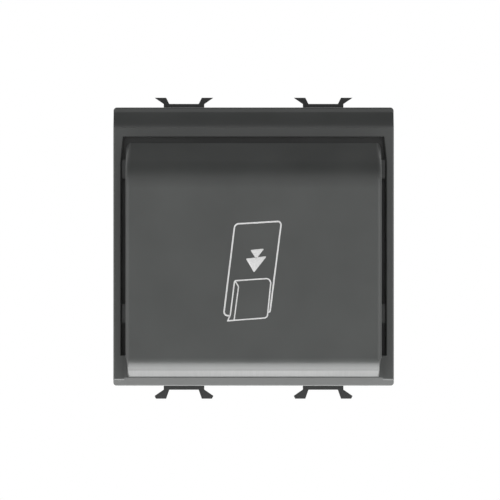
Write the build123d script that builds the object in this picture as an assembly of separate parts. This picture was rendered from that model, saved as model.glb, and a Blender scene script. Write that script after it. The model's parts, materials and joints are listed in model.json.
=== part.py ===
from build123d import *
import math
import os

# Hotel key card switch, two modules wide, in millimetres.
# The front faces -Y and +Z is up. The origin is the centre of the rim's back face (Y = 0),
# which lies on the wall support. A key card goes down behind the hood and presses a tongue.
# The tongue's carriage swings a rocker from the lower contact to the upper one, and a
# spring lifts the carriage again when the card is drawn out. Three clamp terminals with
# screws stand behind, two rigid claws above and two sprung claws below hold the support.

# Clearances
fit_gap = 0.1
slide_gap = 0.25
pin_gap = 0.05
housing_gap = 0.2
overrun = 1.0

# Front frame: rim, concave top slope, flat lip, cheeks, stepped bottom and recess
front_width = 45.0
front_height = 44.7
front_corner_radius = 0.55
rim_depth = 6.4
face_depth = 9.3
top_edge_height = 0.7
top_edge_radius = 0.25
top_blend_radius = 0.6
scoop_height = 2.65
scoop_radius = 5.8
lip_height = 1.35
cheek_width = 1.35
cheek_edge_radius = 0.3
cheek_inner_radius = 0.3
recess_corner_lean = 0.35
recess_corner_drop = 4.2
bottom_setback = 1.35
bottom_edge_radius = 0.35
bottom_ledge_depth = 0.45
bottom_strip_height = 0.9
bottom_strip_depth = 0.4
recess_depth = 3.3
floor_thickness = 1.6
frame_wall = 1.6

# Guide tabs that bridge the side slits
tab_height = 3.0
tab_reach = 0.85
tab_setback = 0.7
upper_tab_drop = 5.25
lower_tab_rise = 6.75

# Foot that carries the hood, and the two screws in it
foot_height = 3.5
foot_side_step = 0.3
foot_under_wall = 1.1
hood_screw_radius = 0.9
hood_screw_grip = 2.6
hood_screw_head_radius = 1.6
hood_screw_head_height = 1.1
hood_screw_recess = 0.7
hood_screw_drop = 1.4
hood_screw_side_inset = 6.75
head_clearance = 0.15

# Hood in front of the card
slot_opening = 1.08
hood_side_gap = 0.7
card_gap = 1.9
hood_slope_depth = 3.2
hood_slope_height = 2.8
hood_round_radius = 6.0
hood_under_height = 3.2
hood_under_radius = 2.3
hood_under_step = 0.1
hood_wall = 1.5
hood_edge_radius = 0.8
hood_rib_width = 1.2
hood_rib_shares = (-0.7, -0.42, -0.14, 0.14, 0.42, 0.7)

# Legs of the frame that snap over wedges on the housing
leg_thickness = 1.1
leg_length = 7.4
leg_height = 10.0
leg_window_height = 6.8
leg_window_start = 3.0
leg_window_length = 2.4
wedge_height = 6.0
wedge_reach = 0.9
wedge_length = 1.8

# Card pusher and its carriage
slider_travel = 4.0
tongue_half_width = 7.0
tongue_height = 2.0
tongue_gap_front = 0.3
plate_half_width = 4.0
plate_thickness = 1.4
neck_half_width = 2.4
neck_height = 3.2
web_half_width = 3.8
web_thickness = 1.7
peg_radius = 1.0
peg_reach = 2.7
peg_cheek_radius = 1.9
peg_cheek_inner = 2.5
shelf_drop = 3.6
shelf_thickness = 1.4
shelf_depth = 4.3
stub_radius = 1.1
stub_length = 1.4
rail_width = 1.2
rail_depth = 2.6
rail_run = 4.0
stop_height = 1.6

# Return spring under the carriage
spring_turns = 7
spring_coil_radius = 1.65
spring_wire_radius = 0.2
spring_quarters = 4
spring_samples = 24

# Bowed leaves that hold the card against the hood
grip_side_inset = 9.15
grip_width = 3.0
grip_thickness = 0.3
grip_reach = 4.5
grip_span = 16.0
grip_rise_share = 0.55
grip_foot_length = 2.0
grip_bend_radius = 1.2

# Rocker, its pin and the moving contact
rocker_axis_z = -3.0
fork_reach = 9.0
fork_overreach = 1.9
fork_gap = 0.12
fork_tine = 1.2
hub_radius = 2.4
rocker_half_width = 2.2
pin_radius = 1.0
contact_arm = 6.0
blade_thickness = 0.6
blade_lug_width = 0.6
blade_lug_radius = 1.9
blade_tip = 1.4
jaw_thickness = 1.0
jaw_reach = 4.4
rivet_radius = 1.2
rivet_head = 0.6
rivet_shank_radius = 0.6
contact_gap = 0.15

# Brass strips and the bracket
strip_thickness = 0.7
strip_bend_radius = 0.8
strip_width = 4.4
contact_strip_depth = 2.5
ear_gap = 0.3
ear_half_length = 1.6
bracket_front_reach = 2.4
bracket_rear_reach = 2.0
pass_height = 5.0
riser_setback = 0.55

# Terminals: rising cages, screws along Y
terminal_side_inset = 8.2
cage_half_height = 3.0
cage_wall = 0.8
cage_rear_wall = 1.4
wire_space = 2.8
cage_travel = 1.8
tab_end_share = 0.9
screw_radius = 1.45
screw_head_radius = 2.4
screw_head_height = 1.6
screw_tip_gap = 0.1
driver_slot_width = 0.7
driver_slot_depth = 0.8
ledge_thickness = 1.0
well_radius = 2.7
well_lip = 1.3
wire_window_width = 3.4
wire_mouth_chamfer = 0.8

# Housing and terminal block
housing_wall = 1.5
housing_inset = 1.75
housing_corner_radius = 1.0
housing_rear_reserve = 0.4
cradle_gap = 0.5
cradle_wall = 1.2
cradle_front_reach = 3.5
rib_width = 1.5
rib_length = 5.5
inner_rib_offset = 4.6
outer_rib_side_inset = 3.7
flange_thickness = 1.5
ridge_wall = 1.6
ridge_half_height = 8.5
ridge_corner_radius = 0.8
snap_inset = 8.0
snap_height = 5.0
snap_leg_length = 6.0
snap_leg_thickness = 0.9
snap_hook_length = 1.6
snap_hook_reach = 1.1

# Claws on the support, one pair for each module
module_count = 2
support_thickness = 2.2
claw_length = 5.0
claw_neck_half = 3.27
claw_tip_half = 4.75
claw_notch_top_half = 2.88
claw_notch_half = 2.38
claw_flat_length = 1.2
upper_claw_stem_rise = 1.5
upper_claw_bar_rise = 0.7
upper_claw_rise = 1.7
upper_claw_tip_side = 0.0
lower_claw_bar_drop = 0.8
lower_claw_drop = 2.25
lower_claw_tip_side = 0.45
release_axis_drop = 1.1
release_axis_inset = 1.2
release_arm_thickness = 1.2
release_angle = 15.0
trunnion_radius = 0.6
trunnion_root_radius = 0.9
trunnion_length = 1.0
ear_wall = 1.2
channel_wall = 1.2

# Places along Y, from the hood back to the screws
face_y = -face_depth
bottom_ledge_y = face_y + bottom_ledge_depth
bottom_strip_y = bottom_ledge_y + bottom_strip_depth
rim_front_y = -rim_depth
floor_front_y = face_y + recess_depth
floor_back_y = floor_front_y + floor_thickness
hood_back_y = face_y - card_gap
slope_angle = math.atan2(hood_slope_depth, hood_slope_height)
hood_front_y = hood_back_y - hood_slope_depth - hood_round_radius * (1 - math.cos(slope_angle))
web_front_y = floor_back_y + 2 * slide_gap
web_back_y = web_front_y + web_thickness
peg_y = web_back_y + peg_reach
pivot_y = peg_y + fork_reach
rocker_tilt = math.atan2(slider_travel / 2, fork_reach)
contact_y = pivot_y + contact_arm * math.cos(rocker_tilt)
strip_front_y = contact_y - contact_strip_depth / 2
riser_y = contact_y + contact_strip_depth / 2 - riser_setback / 2
housing_front_y = floor_back_y + fit_gap
housing_back_y = riser_y + riser_setback / 2 + strip_thickness / 2 + housing_rear_reserve
flange_front_y = housing_back_y + fit_gap
flange_back_y = flange_front_y + flange_thickness
cage_front_y = flange_back_y + 2 * slide_gap
wire_front_y = cage_front_y + cage_wall
tab_front_y = wire_front_y + wire_space
tab_back_y = tab_front_y + strip_thickness
cage_inner_back_y = tab_back_y + slide_gap
cage_back_y = cage_inner_back_y + cage_rear_wall
ledge_front_y = cage_back_y + cage_travel + fit_gap
ledge_back_y = ledge_front_y + ledge_thickness
head_front_y = ledge_back_y + fit_gap
head_back_y = head_front_y + screw_head_height
block_back_y = head_back_y + well_lip

# Places across X and up Z
half_width = front_width / 2
half_height = front_height / 2
recess_half_width = half_width - cheek_width
hood_half_width = recess_half_width - hood_side_gap
foot_half_width = hood_half_width + foot_side_step
hood_screw_spread = foot_half_width - hood_screw_side_inset
grip_spread = recess_half_width - grip_side_inset
claw_spread = half_width / module_count
lip_top_z = half_height - top_edge_height - scoop_height
lip_bottom_z = lip_top_z - lip_height
face_bottom_z = -half_height + bottom_setback
bottom_ledge_z = -half_height + bottom_strip_height
foot_top_z = face_bottom_z + foot_height
hood_top_z = lip_bottom_z - slot_opening
hood_bottom_z = face_bottom_z + hood_under_step
round_bottom_z = hood_top_z - hood_slope_height - hood_round_radius * math.sin(slope_angle)
hood_screw_z = foot_top_z - hood_screw_drop
tongue_top_z = foot_top_z + slider_travel
notch_bottom_z = face_bottom_z + foot_under_wall
peg_z = rocker_axis_z + slider_travel / 2
cavity_half_width = half_width - frame_wall
cavity_half_height = half_height - frame_wall
housing_half_width = cavity_half_width - housing_gap
housing_half_height = cavity_half_height - housing_inset
chamber_half_width = housing_half_width - housing_wall
chamber_half_height = housing_half_height - housing_wall
outer_rib_offset = housing_half_width - outer_rib_side_inset
snap_spread = housing_half_height - snap_inset
terminal_pitch = housing_half_width - terminal_side_inset
upper_claw_stem_top = housing_half_height + upper_claw_stem_rise
upper_claw_bar_top = half_height + upper_claw_bar_rise
upper_claw_top = half_height + upper_claw_rise
lower_claw_bar_end = half_height + lower_claw_bar_drop
lower_claw_end = half_height + lower_claw_drop
neck_z = peg_z - 2 * peg_radius
shelf_top_z = peg_z - shelf_drop
shelf_bottom_z = shelf_top_z - shelf_thickness
web_top_z = peg_z + peg_cheek_radius
ear_inner = rocker_half_width + fit_gap + blade_lug_width + ear_gap
ear_outer = ear_inner + strip_thickness
cradle_inner = ear_outer + cradle_gap
cradle_outer = cradle_inner + cradle_wall
cage_half_width = strip_width / 2 + slide_gap + cage_wall
pocket_half_width = cage_half_width + slide_gap
pocket_bottom_z = -cage_half_height - slide_gap
pocket_top_z = pass_height + strip_thickness / 2 + fit_gap
ridge_half_width = terminal_pitch + pocket_half_width + ridge_wall
rivet_half = blade_thickness / 2 + rivet_head
contact_lift = (
    contact_arm * math.sin(rocker_tilt)
    + rivet_half * math.cos(rocker_tilt)
    + rivet_radius * math.sin(rocker_tilt)
    + contact_gap
)
lower_contact_z = rocker_axis_z - contact_lift
upper_contact_z = rocker_axis_z + contact_lift
release_axis_y = housing_back_y - release_axis_inset
release_axis_z = -housing_half_height - release_axis_drop
terminal_places = {"no": terminal_pitch, "common": 0.0, "nc": -terminal_pitch}


def both(distance):
    """Range from minus to plus a distance."""
    return (-distance, distance)


def around(middle, half):
    """Range of a half length each way about a middle."""
    return (middle - half, middle + half)


def block(x, y, z):
    """Box between a pair of places along each axis."""
    centre = Pos((x[0] + x[1]) / 2, (y[0] + y[1]) / 2, (z[0] + z[1]) / 2)
    return centre * Box(x[1] - x[0], y[1] - y[0], z[1] - z[0])


def along_x(face, x):
    """Solid of a face drawn in (Y, Z), carried along X."""
    return extrude(Plane.YZ.offset(x[0]) * face, amount=x[1] - x[0])


def along_y(face, y):
    """Solid of a face drawn in (X, Z), carried along Y."""
    return extrude(Plane.XZ.offset(-y[0]) * face, amount=y[0] - y[1])


def polygon(*points):
    """Plain face through the given corners."""
    return make_face(Polyline(*points, close=True))


def rod_x(y, z, radius, x):
    """Round rod along X."""
    return along_x(Pos(y, z) * Circle(radius), x)


def rod_y(x, z, radius, y):
    """Round rod along Y."""
    return along_y(Pos(x, z) * Circle(radius), y)


def rod_z(x, y, radius, z):
    """Round rod along Z."""
    return extrude(Plane.XY.offset(z[0]) * Pos(x, y) * Circle(radius), amount=z[1] - z[0])


def rounded_bar(half_x, half_z, radius, y):
    """Bar along Y with a rounded rectangle for its section."""
    return along_y(RectangleRounded(2 * half_x, 2 * half_z, radius), y)


def round_corner(face, place, radius):
    """Face with the corner nearest to a place rounded."""
    corner = face.vertices().sort_by_distance((place[0], place[1], 0))[0]
    return fillet(corner, radius)


def bent_strip(points, bend_radius, thickness, x):
    """Strip of sheet metal that follows a bent line in (Y, Z)."""
    line = FilletPolyline(*points, radius=bend_radius)
    return along_x(trace(line, line_width=thickness), x)


def frame_section():
    """Side section of the front frame in (Y, Z), stepped back at the bottom."""
    outer = Polyline(
        (face_y, lip_top_z),
        (face_y, bottom_ledge_z),
        (bottom_ledge_y, bottom_ledge_z),
        (bottom_strip_y, -half_height),
        (0, -half_height),
        (0, half_height),
        (rim_front_y, half_height),
        (rim_front_y, half_height - top_edge_height),
    )
    scoop = RadiusArc(
        (rim_front_y, half_height - top_edge_height),
        (face_y, lip_top_z),
        scoop_radius,
    )
    face = make_face(outer + scoop)
    face = round_corner(face, (face_y, bottom_ledge_z), bottom_edge_radius)
    face = round_corner(face, (bottom_strip_y, -half_height), top_edge_radius)
    face = round_corner(face, (rim_front_y, half_height - top_edge_height), top_blend_radius)
    return round_corner(face, (rim_front_y, half_height), top_edge_radius)


def frame_body():
    """Outer body of the frame: its side section trimmed to the rounded front outline."""
    body = along_x(frame_section(), both(half_width))
    outline = rounded_bar(half_width, half_height, front_corner_radius, (hood_front_y, overrun))
    plan = polygon((-half_width, face_y), (half_width, face_y), (half_width, 0), (-half_width, 0))
    for side in (-1, 1):
        plan = round_corner(plan, (side * half_width, face_y), cheek_edge_radius)
    return body & outline & extrude(plan, amount=half_height, both=True)


def recess():
    """Space for the hood and the card, with sides that lean in under the lip."""
    lean_top = recess_half_width - recess_corner_lean
    lean_bottom_z = lip_bottom_z - recess_corner_drop
    outline = polygon(
        (-recess_half_width, foot_top_z),
        (recess_half_width, foot_top_z),
        (recess_half_width, lean_bottom_z),
        (lean_top, lip_bottom_z),
        (-lean_top, lip_bottom_z),
        (-recess_half_width, lean_bottom_z),
    )
    front = Plane((0, face_y - overrun, 0), x_dir=(1, 0, 0), z_dir=(0, -1, 0))
    return extrude(front * outline, amount=face_y - overrun - floor_front_y)


def foot_relief():
    """Cut below the foot that carries the bottom strip's slope up to it."""
    rise = face_bottom_z - bottom_ledge_z
    top_y = bottom_ledge_y - rise * bottom_strip_depth / bottom_strip_height
    section = polygon(
        (face_y - overrun, bottom_ledge_z),
        (bottom_ledge_y, bottom_ledge_z),
        (top_y, face_bottom_z),
        (face_y - overrun, face_bottom_z),
    )
    return along_x(section, both(foot_half_width))


def guide_tabs():
    """Four tabs that bridge the slits between the cheeks and the hood."""
    tabs = []
    upper = lip_bottom_z - upper_tab_drop
    lower = foot_top_z + lower_tab_rise
    depth = (face_y + tab_setback, floor_front_y + floor_thickness / 2)
    for middle in (upper, lower):
        height = around(middle, tab_height / 2)
        inner = recess_half_width - tab_reach
        outer = recess_half_width + cheek_width / 2
        tabs.append(block((inner, outer), depth, height))
        tabs.append(block((-outer, -inner), depth, height))
    return tabs


def frame_legs():
    """Legs at both sides of the frame, each with a window for a wedge of the housing."""
    leg = block(
        (cavity_half_width, cavity_half_width + leg_thickness),
        (floor_back_y, leg_length),
        both(leg_height / 2),
    )
    window = block(
        (cavity_half_width - overrun, half_width),
        (leg_window_start, leg_window_start + leg_window_length),
        both(leg_window_height / 2),
    )
    leg -= window
    return [leg, mirror(leg, Plane.YZ)]


def carriage_rails():
    """Rails behind the recess floor that guide the carriage, and the stop above it."""
    inner = web_half_width + slide_gap
    depth = (floor_back_y - floor_thickness / 2, floor_back_y + rail_depth)
    stop_z = web_top_z + slide_gap
    height = (shelf_bottom_z - slider_travel - rail_run, stop_z + stop_height)
    rail = block((inner, inner + rail_width), depth, height)
    stop = block(both(inner + rail_width), depth, (stop_z, stop_z + stop_height))
    return [rail, mirror(rail, Plane.YZ), stop]


def grip_profile():
    """Line of a grip leaf in (Y, Z), from its lower foot in the floor to its free upper foot."""
    low = foot_top_z + (lip_bottom_z - foot_top_z - grip_span) * grip_rise_share
    seat = floor_front_y - grip_thickness / 2 - fit_gap
    deep = floor_front_y + floor_thickness / 2
    top = low + grip_span
    apex = seat - grip_reach
    return [
        (deep, low),
        (seat, low),
        (apex, low + grip_span / 3),
        (apex, top - grip_span / 3),
        (seat, top),
        (seat, top + grip_foot_length),
    ]


def grip_slots():
    """Slots in the recess floor for the lower feet of the grip leaves."""
    deep, low = grip_profile()[0]
    slots = []
    for side in (-1, 1):
        width = around(side * grip_spread, grip_width / 2 + fit_gap)
        height = around(low, grip_thickness / 2 + fit_gap)
        slots.append(block(width, (floor_front_y - overrun, deep + fit_gap), height))
    return slots


def hood_screw_holes():
    """Stepped holes through the foot for the two hood screws."""
    holes = []
    seat_y = floor_back_y - hood_screw_recess - hood_screw_head_height
    head_radius = hood_screw_head_radius + head_clearance
    for side in (-1, 1):
        x = side * hood_screw_spread
        shank_y = (hood_back_y - overrun, floor_back_y)
        holes.append(rod_y(x, hood_screw_z, hood_screw_radius + pin_gap, shank_y))
        holes.append(rod_y(x, hood_screw_z, head_radius, (seat_y, floor_back_y + overrun)))
    return holes


def front_frame():
    """Moulded front: rim, lip, cheeks, recess, foot, tabs, legs and rails."""
    body = frame_body()
    body -= recess()
    recess_middle = (foot_top_z + lip_bottom_z) / 2
    cheek_edges = [
        body.edges().sort_by_distance((side * recess_half_width, face_y, recess_middle))[0]
        for side in (-1, 1)
    ]
    body = fillet(cheek_edges, cheek_inner_radius)
    body -= foot_relief()
    body -= block(
        both(cavity_half_width),
        (floor_back_y, overrun),
        both(cavity_half_height),
    )
    foot = block(
        both(foot_half_width),
        (hood_back_y, floor_front_y + floor_thickness / 2),
        (face_bottom_z, foot_top_z),
    )
    body += foot
    for piece in guide_tabs() + frame_legs() + carriage_rails():
        body += piece
    body -= block(
        both(tongue_half_width + slide_gap),
        (hood_back_y - overrun, floor_front_y),
        (notch_bottom_z, foot_top_z + overrun),
    )
    neck_low = neck_z - neck_height / 2 - slider_travel - slide_gap
    neck_high = neck_z + neck_height / 2 + slide_gap
    body -= block(
        both(neck_half_width + slide_gap),
        (floor_front_y - overrun, floor_back_y + overrun),
        (neck_low, neck_high),
    )
    for hole in grip_slots() + hood_screw_holes():
        body -= hole
    return body


def hood_section():
    """Side section of the hood in (Y, Z): slope, rounding, flat front and swept underside."""
    slope_end = (hood_back_y - hood_slope_depth, hood_top_z - hood_slope_height)
    under_centre = (hood_front_y + hood_under_radius, hood_bottom_z + hood_under_height)
    reach = (under_centre[0] - hood_back_y, under_centre[1] - hood_bottom_z)
    distance = math.hypot(*reach)
    bevel = math.atan2(reach[1], reach[0]) + math.asin(hood_under_radius / distance)
    length = math.sqrt(distance**2 - hood_under_radius**2)
    bevel_end = (
        hood_back_y + length * math.cos(bevel),
        hood_bottom_z + length * math.sin(bevel),
    )
    half_turn = (bevel - math.pi / 2) / 2
    under_middle = (
        under_centre[0] - hood_under_radius * math.cos(half_turn),
        under_centre[1] - hood_under_radius * math.sin(half_turn),
    )
    lines = (
        Line((hood_back_y, hood_bottom_z), (hood_back_y, hood_top_z))
        + Line((hood_back_y, hood_top_z), slope_end)
        + RadiusArc(slope_end, (hood_front_y, round_bottom_z), -hood_round_radius)
        + Line((hood_front_y, round_bottom_z), (hood_front_y, under_centre[1]))
        + ThreePointArc((hood_front_y, under_centre[1]), under_middle, bevel_end)
        + Line(bevel_end, (hood_back_y, hood_bottom_z))
    )
    return make_face(lines)


def card_hood():
    """Hollow pocket cover with guide ribs behind and two blind screw holes in its foot."""
    body = along_x(hood_section(), both(hood_half_width))
    front_edges = [
        edge
        for edge in body.edges()
        if abs(abs(edge.center().X) - hood_half_width) < hood_edge_radius / 2
        and edge.center().Y < hood_back_y - fit_gap
    ]
    body = fillet(front_edges, hood_edge_radius)
    inner_front_y = hood_front_y + hood_wall
    pocket = polygon(
        (hood_back_y + overrun, foot_top_z),
        (inner_front_y, foot_top_z),
        (inner_front_y, round_bottom_z),
        (hood_back_y, hood_top_z - hood_wall * 3 / 2),
        (hood_back_y + overrun, hood_top_z - hood_wall * 3 / 2),
    )
    inner_half_width = hood_half_width - hood_wall
    body -= along_x(pocket, both(inner_half_width))
    rib = polygon(
        (hood_back_y, foot_top_z - hood_wall / 2),
        (inner_front_y - hood_wall / 2, foot_top_z - hood_wall / 2),
        (inner_front_y - hood_wall / 2, round_bottom_z),
        (hood_back_y, hood_top_z - hood_wall),
    )
    for share in hood_rib_shares:
        body += along_x(rib, around(share * hood_half_width, hood_rib_width / 2))
    for side in (-1, 1):
        x = side * hood_screw_spread
        depth = (hood_back_y - hood_screw_grip - fit_gap, hood_back_y + overrun)
        body -= rod_y(x, hood_screw_z, hood_screw_radius + pin_gap, depth)
    return body


def hood_screws():
    """Two small pan-head screws with cross recesses."""
    head_front = floor_back_y - hood_screw_recess - hood_screw_head_height + pin_gap
    head_back = head_front + hood_screw_head_height
    tip = hood_back_y - hood_screw_grip
    screws = []
    for side in (-1, 1):
        x = side * hood_screw_spread
        screw = rod_y(x, hood_screw_z, hood_screw_radius, (tip, head_front))
        screw += rod_y(x, hood_screw_z, hood_screw_head_radius, (head_front, head_back))
        slot_half = hood_screw_head_radius / 8
        reach = hood_screw_head_radius * 2 / 3
        depth = (head_back - hood_screw_head_height / 2, head_back + overrun)
        screw -= block(around(x, slot_half), depth, around(hood_screw_z, reach))
        screw -= block(around(x, reach), depth, around(hood_screw_z, slot_half))
        screws.append(screw)
    return Compound([screw.solid() for screw in screws])


def card_pusher():
    """Tongue in the card's way, the plate that carries it, and the neck through the floor."""
    front = hood_back_y + tongue_gap_front
    back = floor_front_y - slide_gap
    bottom = tongue_top_z - tongue_height
    body = block(both(tongue_half_width), (front, back), (bottom, tongue_top_z))
    plate_top = neck_z + neck_height / 2
    body += block(both(plate_half_width), (back - plate_thickness, back), (bottom, plate_top))
    neck = around(neck_z, neck_height / 2)
    body += block(both(neck_half_width), (back - plate_thickness, web_back_y), neck)
    return body


def slider_carriage():
    """Carriage behind the floor: web with a socket, two cheeks with the peg, spring shelf."""
    web = block(both(web_half_width), (web_front_y, web_back_y), (shelf_bottom_z, web_top_z))
    socket_half_height = neck_height / 2 + pin_gap
    socket_half_width = neck_half_width + pin_gap
    cheek_face = Pos(peg_y, peg_z) * Circle(peg_cheek_radius)
    cheek_face += polygon(
        (web_back_y, peg_z - peg_cheek_radius),
        (peg_y, peg_z - peg_cheek_radius),
        (peg_y, peg_z + peg_cheek_radius),
        (web_back_y, peg_z + peg_cheek_radius),
    )
    body = web
    body += along_x(cheek_face, (peg_cheek_inner, web_half_width))
    body += along_x(cheek_face, (-web_half_width, -peg_cheek_inner))
    body += rod_x(peg_y, peg_z, peg_radius, both(peg_cheek_inner + fit_gap))
    shelf = (web_front_y, web_front_y + shelf_depth)
    body += block(both(web_half_width), shelf, (shelf_bottom_z, shelf_top_z))
    stub_z = (shelf_bottom_z - stub_length, shelf_bottom_z)
    body += rod_z(0, spring_axis_y(), stub_radius, stub_z)
    body -= block(
        both(socket_half_width),
        (web_front_y - overrun, web_back_y + fit_gap),
        around(neck_z, socket_half_height),
    )
    return body


def spring_axis_y():
    """Place of the return spring's axis along Y, in the middle of the carriage's shelf."""
    return web_front_y + shelf_depth / 2


def coil_point(turn, radius, bottom, rise):
    """Point on a coil about Z after a number of turns."""
    angle = 2 * math.pi * turn
    return Vector(radius * math.cos(angle), radius * math.sin(angle), bottom + rise * turn)


def coil_tangent(turn, radius, rise):
    """Unit direction along a coil about Z after a number of turns."""
    angle = 2 * math.pi * turn
    sweep = 2 * math.pi * radius
    return Vector(-sweep * math.sin(angle), sweep * math.cos(angle), rise).normalized()


def tangent_arc(start, tangent, end):
    """Arc that leaves a start point along a tangent and ends at an end point."""
    chord = end - start
    half_turn = tangent.get_angle(chord) * math.pi / 180
    bulge = tangent - chord * (tangent.dot(chord) / chord.dot(chord))
    sagitta = chord.length / 2 * math.tan(half_turn / 2)
    return ThreePointArc(start, (start + end) / 2 + bulge.normalized() * sagitta, end)


def biarc(start, start_tangent, end, end_tangent):
    """Two arcs that join two points and their tangents without a kink."""
    chord = end - start
    both_ways = start_tangent + end_tangent
    a = 2 * (start_tangent.dot(end_tangent) - 1)
    b = -2 * chord.dot(both_ways)
    c = chord.dot(chord)
    reach = (-b - math.sqrt(b * b - 4 * a * c)) / (2 * a)
    joint = (start + start_tangent * reach + end - end_tangent * reach) / 2
    joint_tangent = (end - start - both_ways * reach).normalized()
    return [tangent_arc(start, start_tangent, joint), tangent_arc(joint, joint_tangent, end)]


def least_gap(wire):
    """Least gap of the spring's wire to itself, measured on points at least half a turn apart."""
    count = spring_turns * spring_samples
    points = [wire @ (place / count) for place in range(count + 1)]
    distances = [
        (points[later] - points[earlier]).length
        for earlier in range(count + 1)
        for later in range(earlier + spring_samples // 2, count + 1)
    ]
    return min(distances) - 2 * spring_wire_radius


def return_spring():
    """Compression spring from the housing floor to the carriage's shelf, one wire of biarcs."""
    bottom = -chamber_half_height + spring_wire_radius + pin_gap
    top = shelf_bottom_z - spring_wire_radius - pin_gap
    rise = (top - bottom) / spring_turns
    steps = spring_turns * spring_quarters
    edges = []
    for step in range(steps):
        first, last = step / spring_quarters, (step + 1) / spring_quarters
        edges += biarc(
            coil_point(first, spring_coil_radius, bottom, rise),
            coil_tangent(first, spring_coil_radius, rise),
            coil_point(last, spring_coil_radius, bottom, rise),
            coil_tangent(last, spring_coil_radius, rise),
        )
    path = Wire([edge.edge() for edge in edges])
    section = Plane(path @ 0, z_dir=path % 0) * Circle(spring_wire_radius)
    spring = sweep(section, path=path)
    print("return spring: least gap of the wire to itself", round(least_gap(path), 3))
    return Pos(0, spring_axis_y(), 0) * spring


def grip_spring(side):
    """Bowed leaf on the recess floor, left (-1) or right (1)."""
    width = around(side * grip_spread, grip_width / 2)
    return bent_strip(grip_profile(), grip_bend_radius, grip_thickness, width)


def tilted(shape):
    """Shape built level about the rocker's axis, put at the rest tilt on that axis."""
    return Pos(0, pivot_y, rocker_axis_z) * Rot(-math.degrees(rocker_tilt), 0, 0) * shape


def contact_rocker():
    """Moulded rocker: hub, open fork for the peg in front, two jaws for the blade behind."""
    slot_half = peg_radius + fork_gap
    tip = -(fork_reach + fork_overreach)
    outer_half = slot_half + fork_tine
    slot_end = -(fork_reach - peg_radius - 2 * slide_gap)
    body = along_x(
        polygon((tip, -outer_half), (0, -hub_radius), (0, hub_radius), (tip, outer_half)),
        both(rocker_half_width),
    )
    body += rod_x(0, 0, hub_radius, both(rocker_half_width))
    jaw = blade_thickness / 2 + pin_gap + jaw_thickness
    body += block(both(rocker_half_width), (0, jaw_reach), both(jaw))
    body -= block(both(rocker_half_width + overrun), (tip - overrun, slot_end), both(slot_half))
    blade_slot = both(blade_thickness / 2 + pin_gap)
    body -= block(
        both(rocker_half_width + overrun),
        (hub_radius, jaw_reach + overrun),
        blade_slot,
    )
    body -= rod_x(0, 0, pin_radius + pin_gap, both(rocker_half_width + overrun))
    return tilted(body)


def moving_contact():
    """Brass blade in the rocker's jaws, with two bored lugs on the pin and a rivet hole."""
    inner = rocker_half_width + fit_gap
    outer = inner + blade_lug_width
    front = hub_radius + fit_gap
    half = blade_thickness / 2
    body = block(both(outer), (front, contact_arm + blade_tip), both(half))
    for side in (-1, 1):
        lug_x = (inner, outer) if side > 0 else (-outer, -inner)
        lug_face = Circle(blade_lug_radius) + polygon(
            (0, -blade_lug_radius),
            (front + half, -half),
            (front + half, half),
            (0, blade_lug_radius),
        )
        body += along_x(lug_face, lug_x)
    body -= rod_x(0, 0, pin_radius + pin_gap, both(outer + overrun))
    body -= rod_z(0, contact_arm, rivet_shank_radius + pin_gap / 2, both(overrun))
    return tilted(body)


def moving_rivet():
    """Double contact rivet in the blade's tip."""
    body = rod_z(0, contact_arm, rivet_shank_radius, both(blade_thickness / 2))
    for side in (-1, 1):
        near, far = side * blade_thickness / 2, side * rivet_half
        body += rod_z(0, contact_arm, rivet_radius, (min(near, far), max(near, far)))
    return tilted(body)


def rocker_pin():
    """Steel axle of the rocker, held in the bracket's ears."""
    return rod_x(pivot_y, rocker_axis_z, pin_radius, both(ear_outer + cradle_gap / 2))


def terminal_run(start, x):
    """Strip from a start line over the cage, bent down into it behind the wire space."""
    tab_y = (tab_front_y + tab_back_y) / 2
    tab_end = (tab_y, -cage_half_height * tab_end_share)
    points = start + [(tab_y, pass_height), tab_end]
    width = around(x, strip_width / 2)
    return bent_strip(points, strip_bend_radius, strip_thickness, width)


def common_bracket():
    """Brass bracket: two bored ears for the pin, a base over the cradle and the common tab."""
    base_z = around(pass_height, strip_thickness / 2)
    ear_y = around(pivot_y, ear_half_length)
    base_y = (pivot_y - bracket_front_reach, pivot_y + bracket_rear_reach)
    body = block(both(cradle_outer), base_y, base_z)
    ear_z = (rocker_axis_z - ear_half_length, pass_height)
    body += block((ear_inner, ear_outer), ear_y, ear_z)
    body += block((-ear_outer, -ear_inner), ear_y, ear_z)
    body -= rod_x(pivot_y, rocker_axis_z, pin_radius + pin_gap, both(cradle_outer))
    body += terminal_run([(pivot_y, pass_height)], terminal_places["common"])
    return body


def contact_strip(side, contact_z, terminal):
    """Fixed contact strip: seat plate for its rivet, riser, and run over to its terminal."""
    x_end = terminal_places[terminal]
    reach = rivet_radius + strip_thickness / 2
    facing = 1 if side < 0 else -1
    top = contact_z - facing * rivet_head
    plate_z = (min(top, top - facing * strip_thickness), max(top, top - facing * strip_thickness))
    plate_middle = sum(plate_z) / 2
    outer = x_end + math.copysign(strip_width / 2, x_end)
    inner = -math.copysign(reach, x_end)
    plate_back = riser_y - strip_bend_radius / 2
    body = block((min(inner, outer), max(inner, outer)), (strip_front_y, plate_back), plate_z)
    start = [(strip_front_y, plate_middle), (riser_y, plate_middle), (riser_y, pass_height)]
    body += terminal_run(start, x_end)
    hole = (plate_z[0] - overrun, plate_z[1] + overrun)
    body -= rod_z(0, contact_y, rivet_shank_radius + pin_gap / 2, hole)
    return body


def contact_strip_nc():
    """Lower fixed contact, closed while no card is in."""
    return contact_strip(-1, lower_contact_z, "nc")


def contact_strip_no():
    """Upper fixed contact, closed by the card."""
    return contact_strip(1, upper_contact_z, "no")


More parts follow.
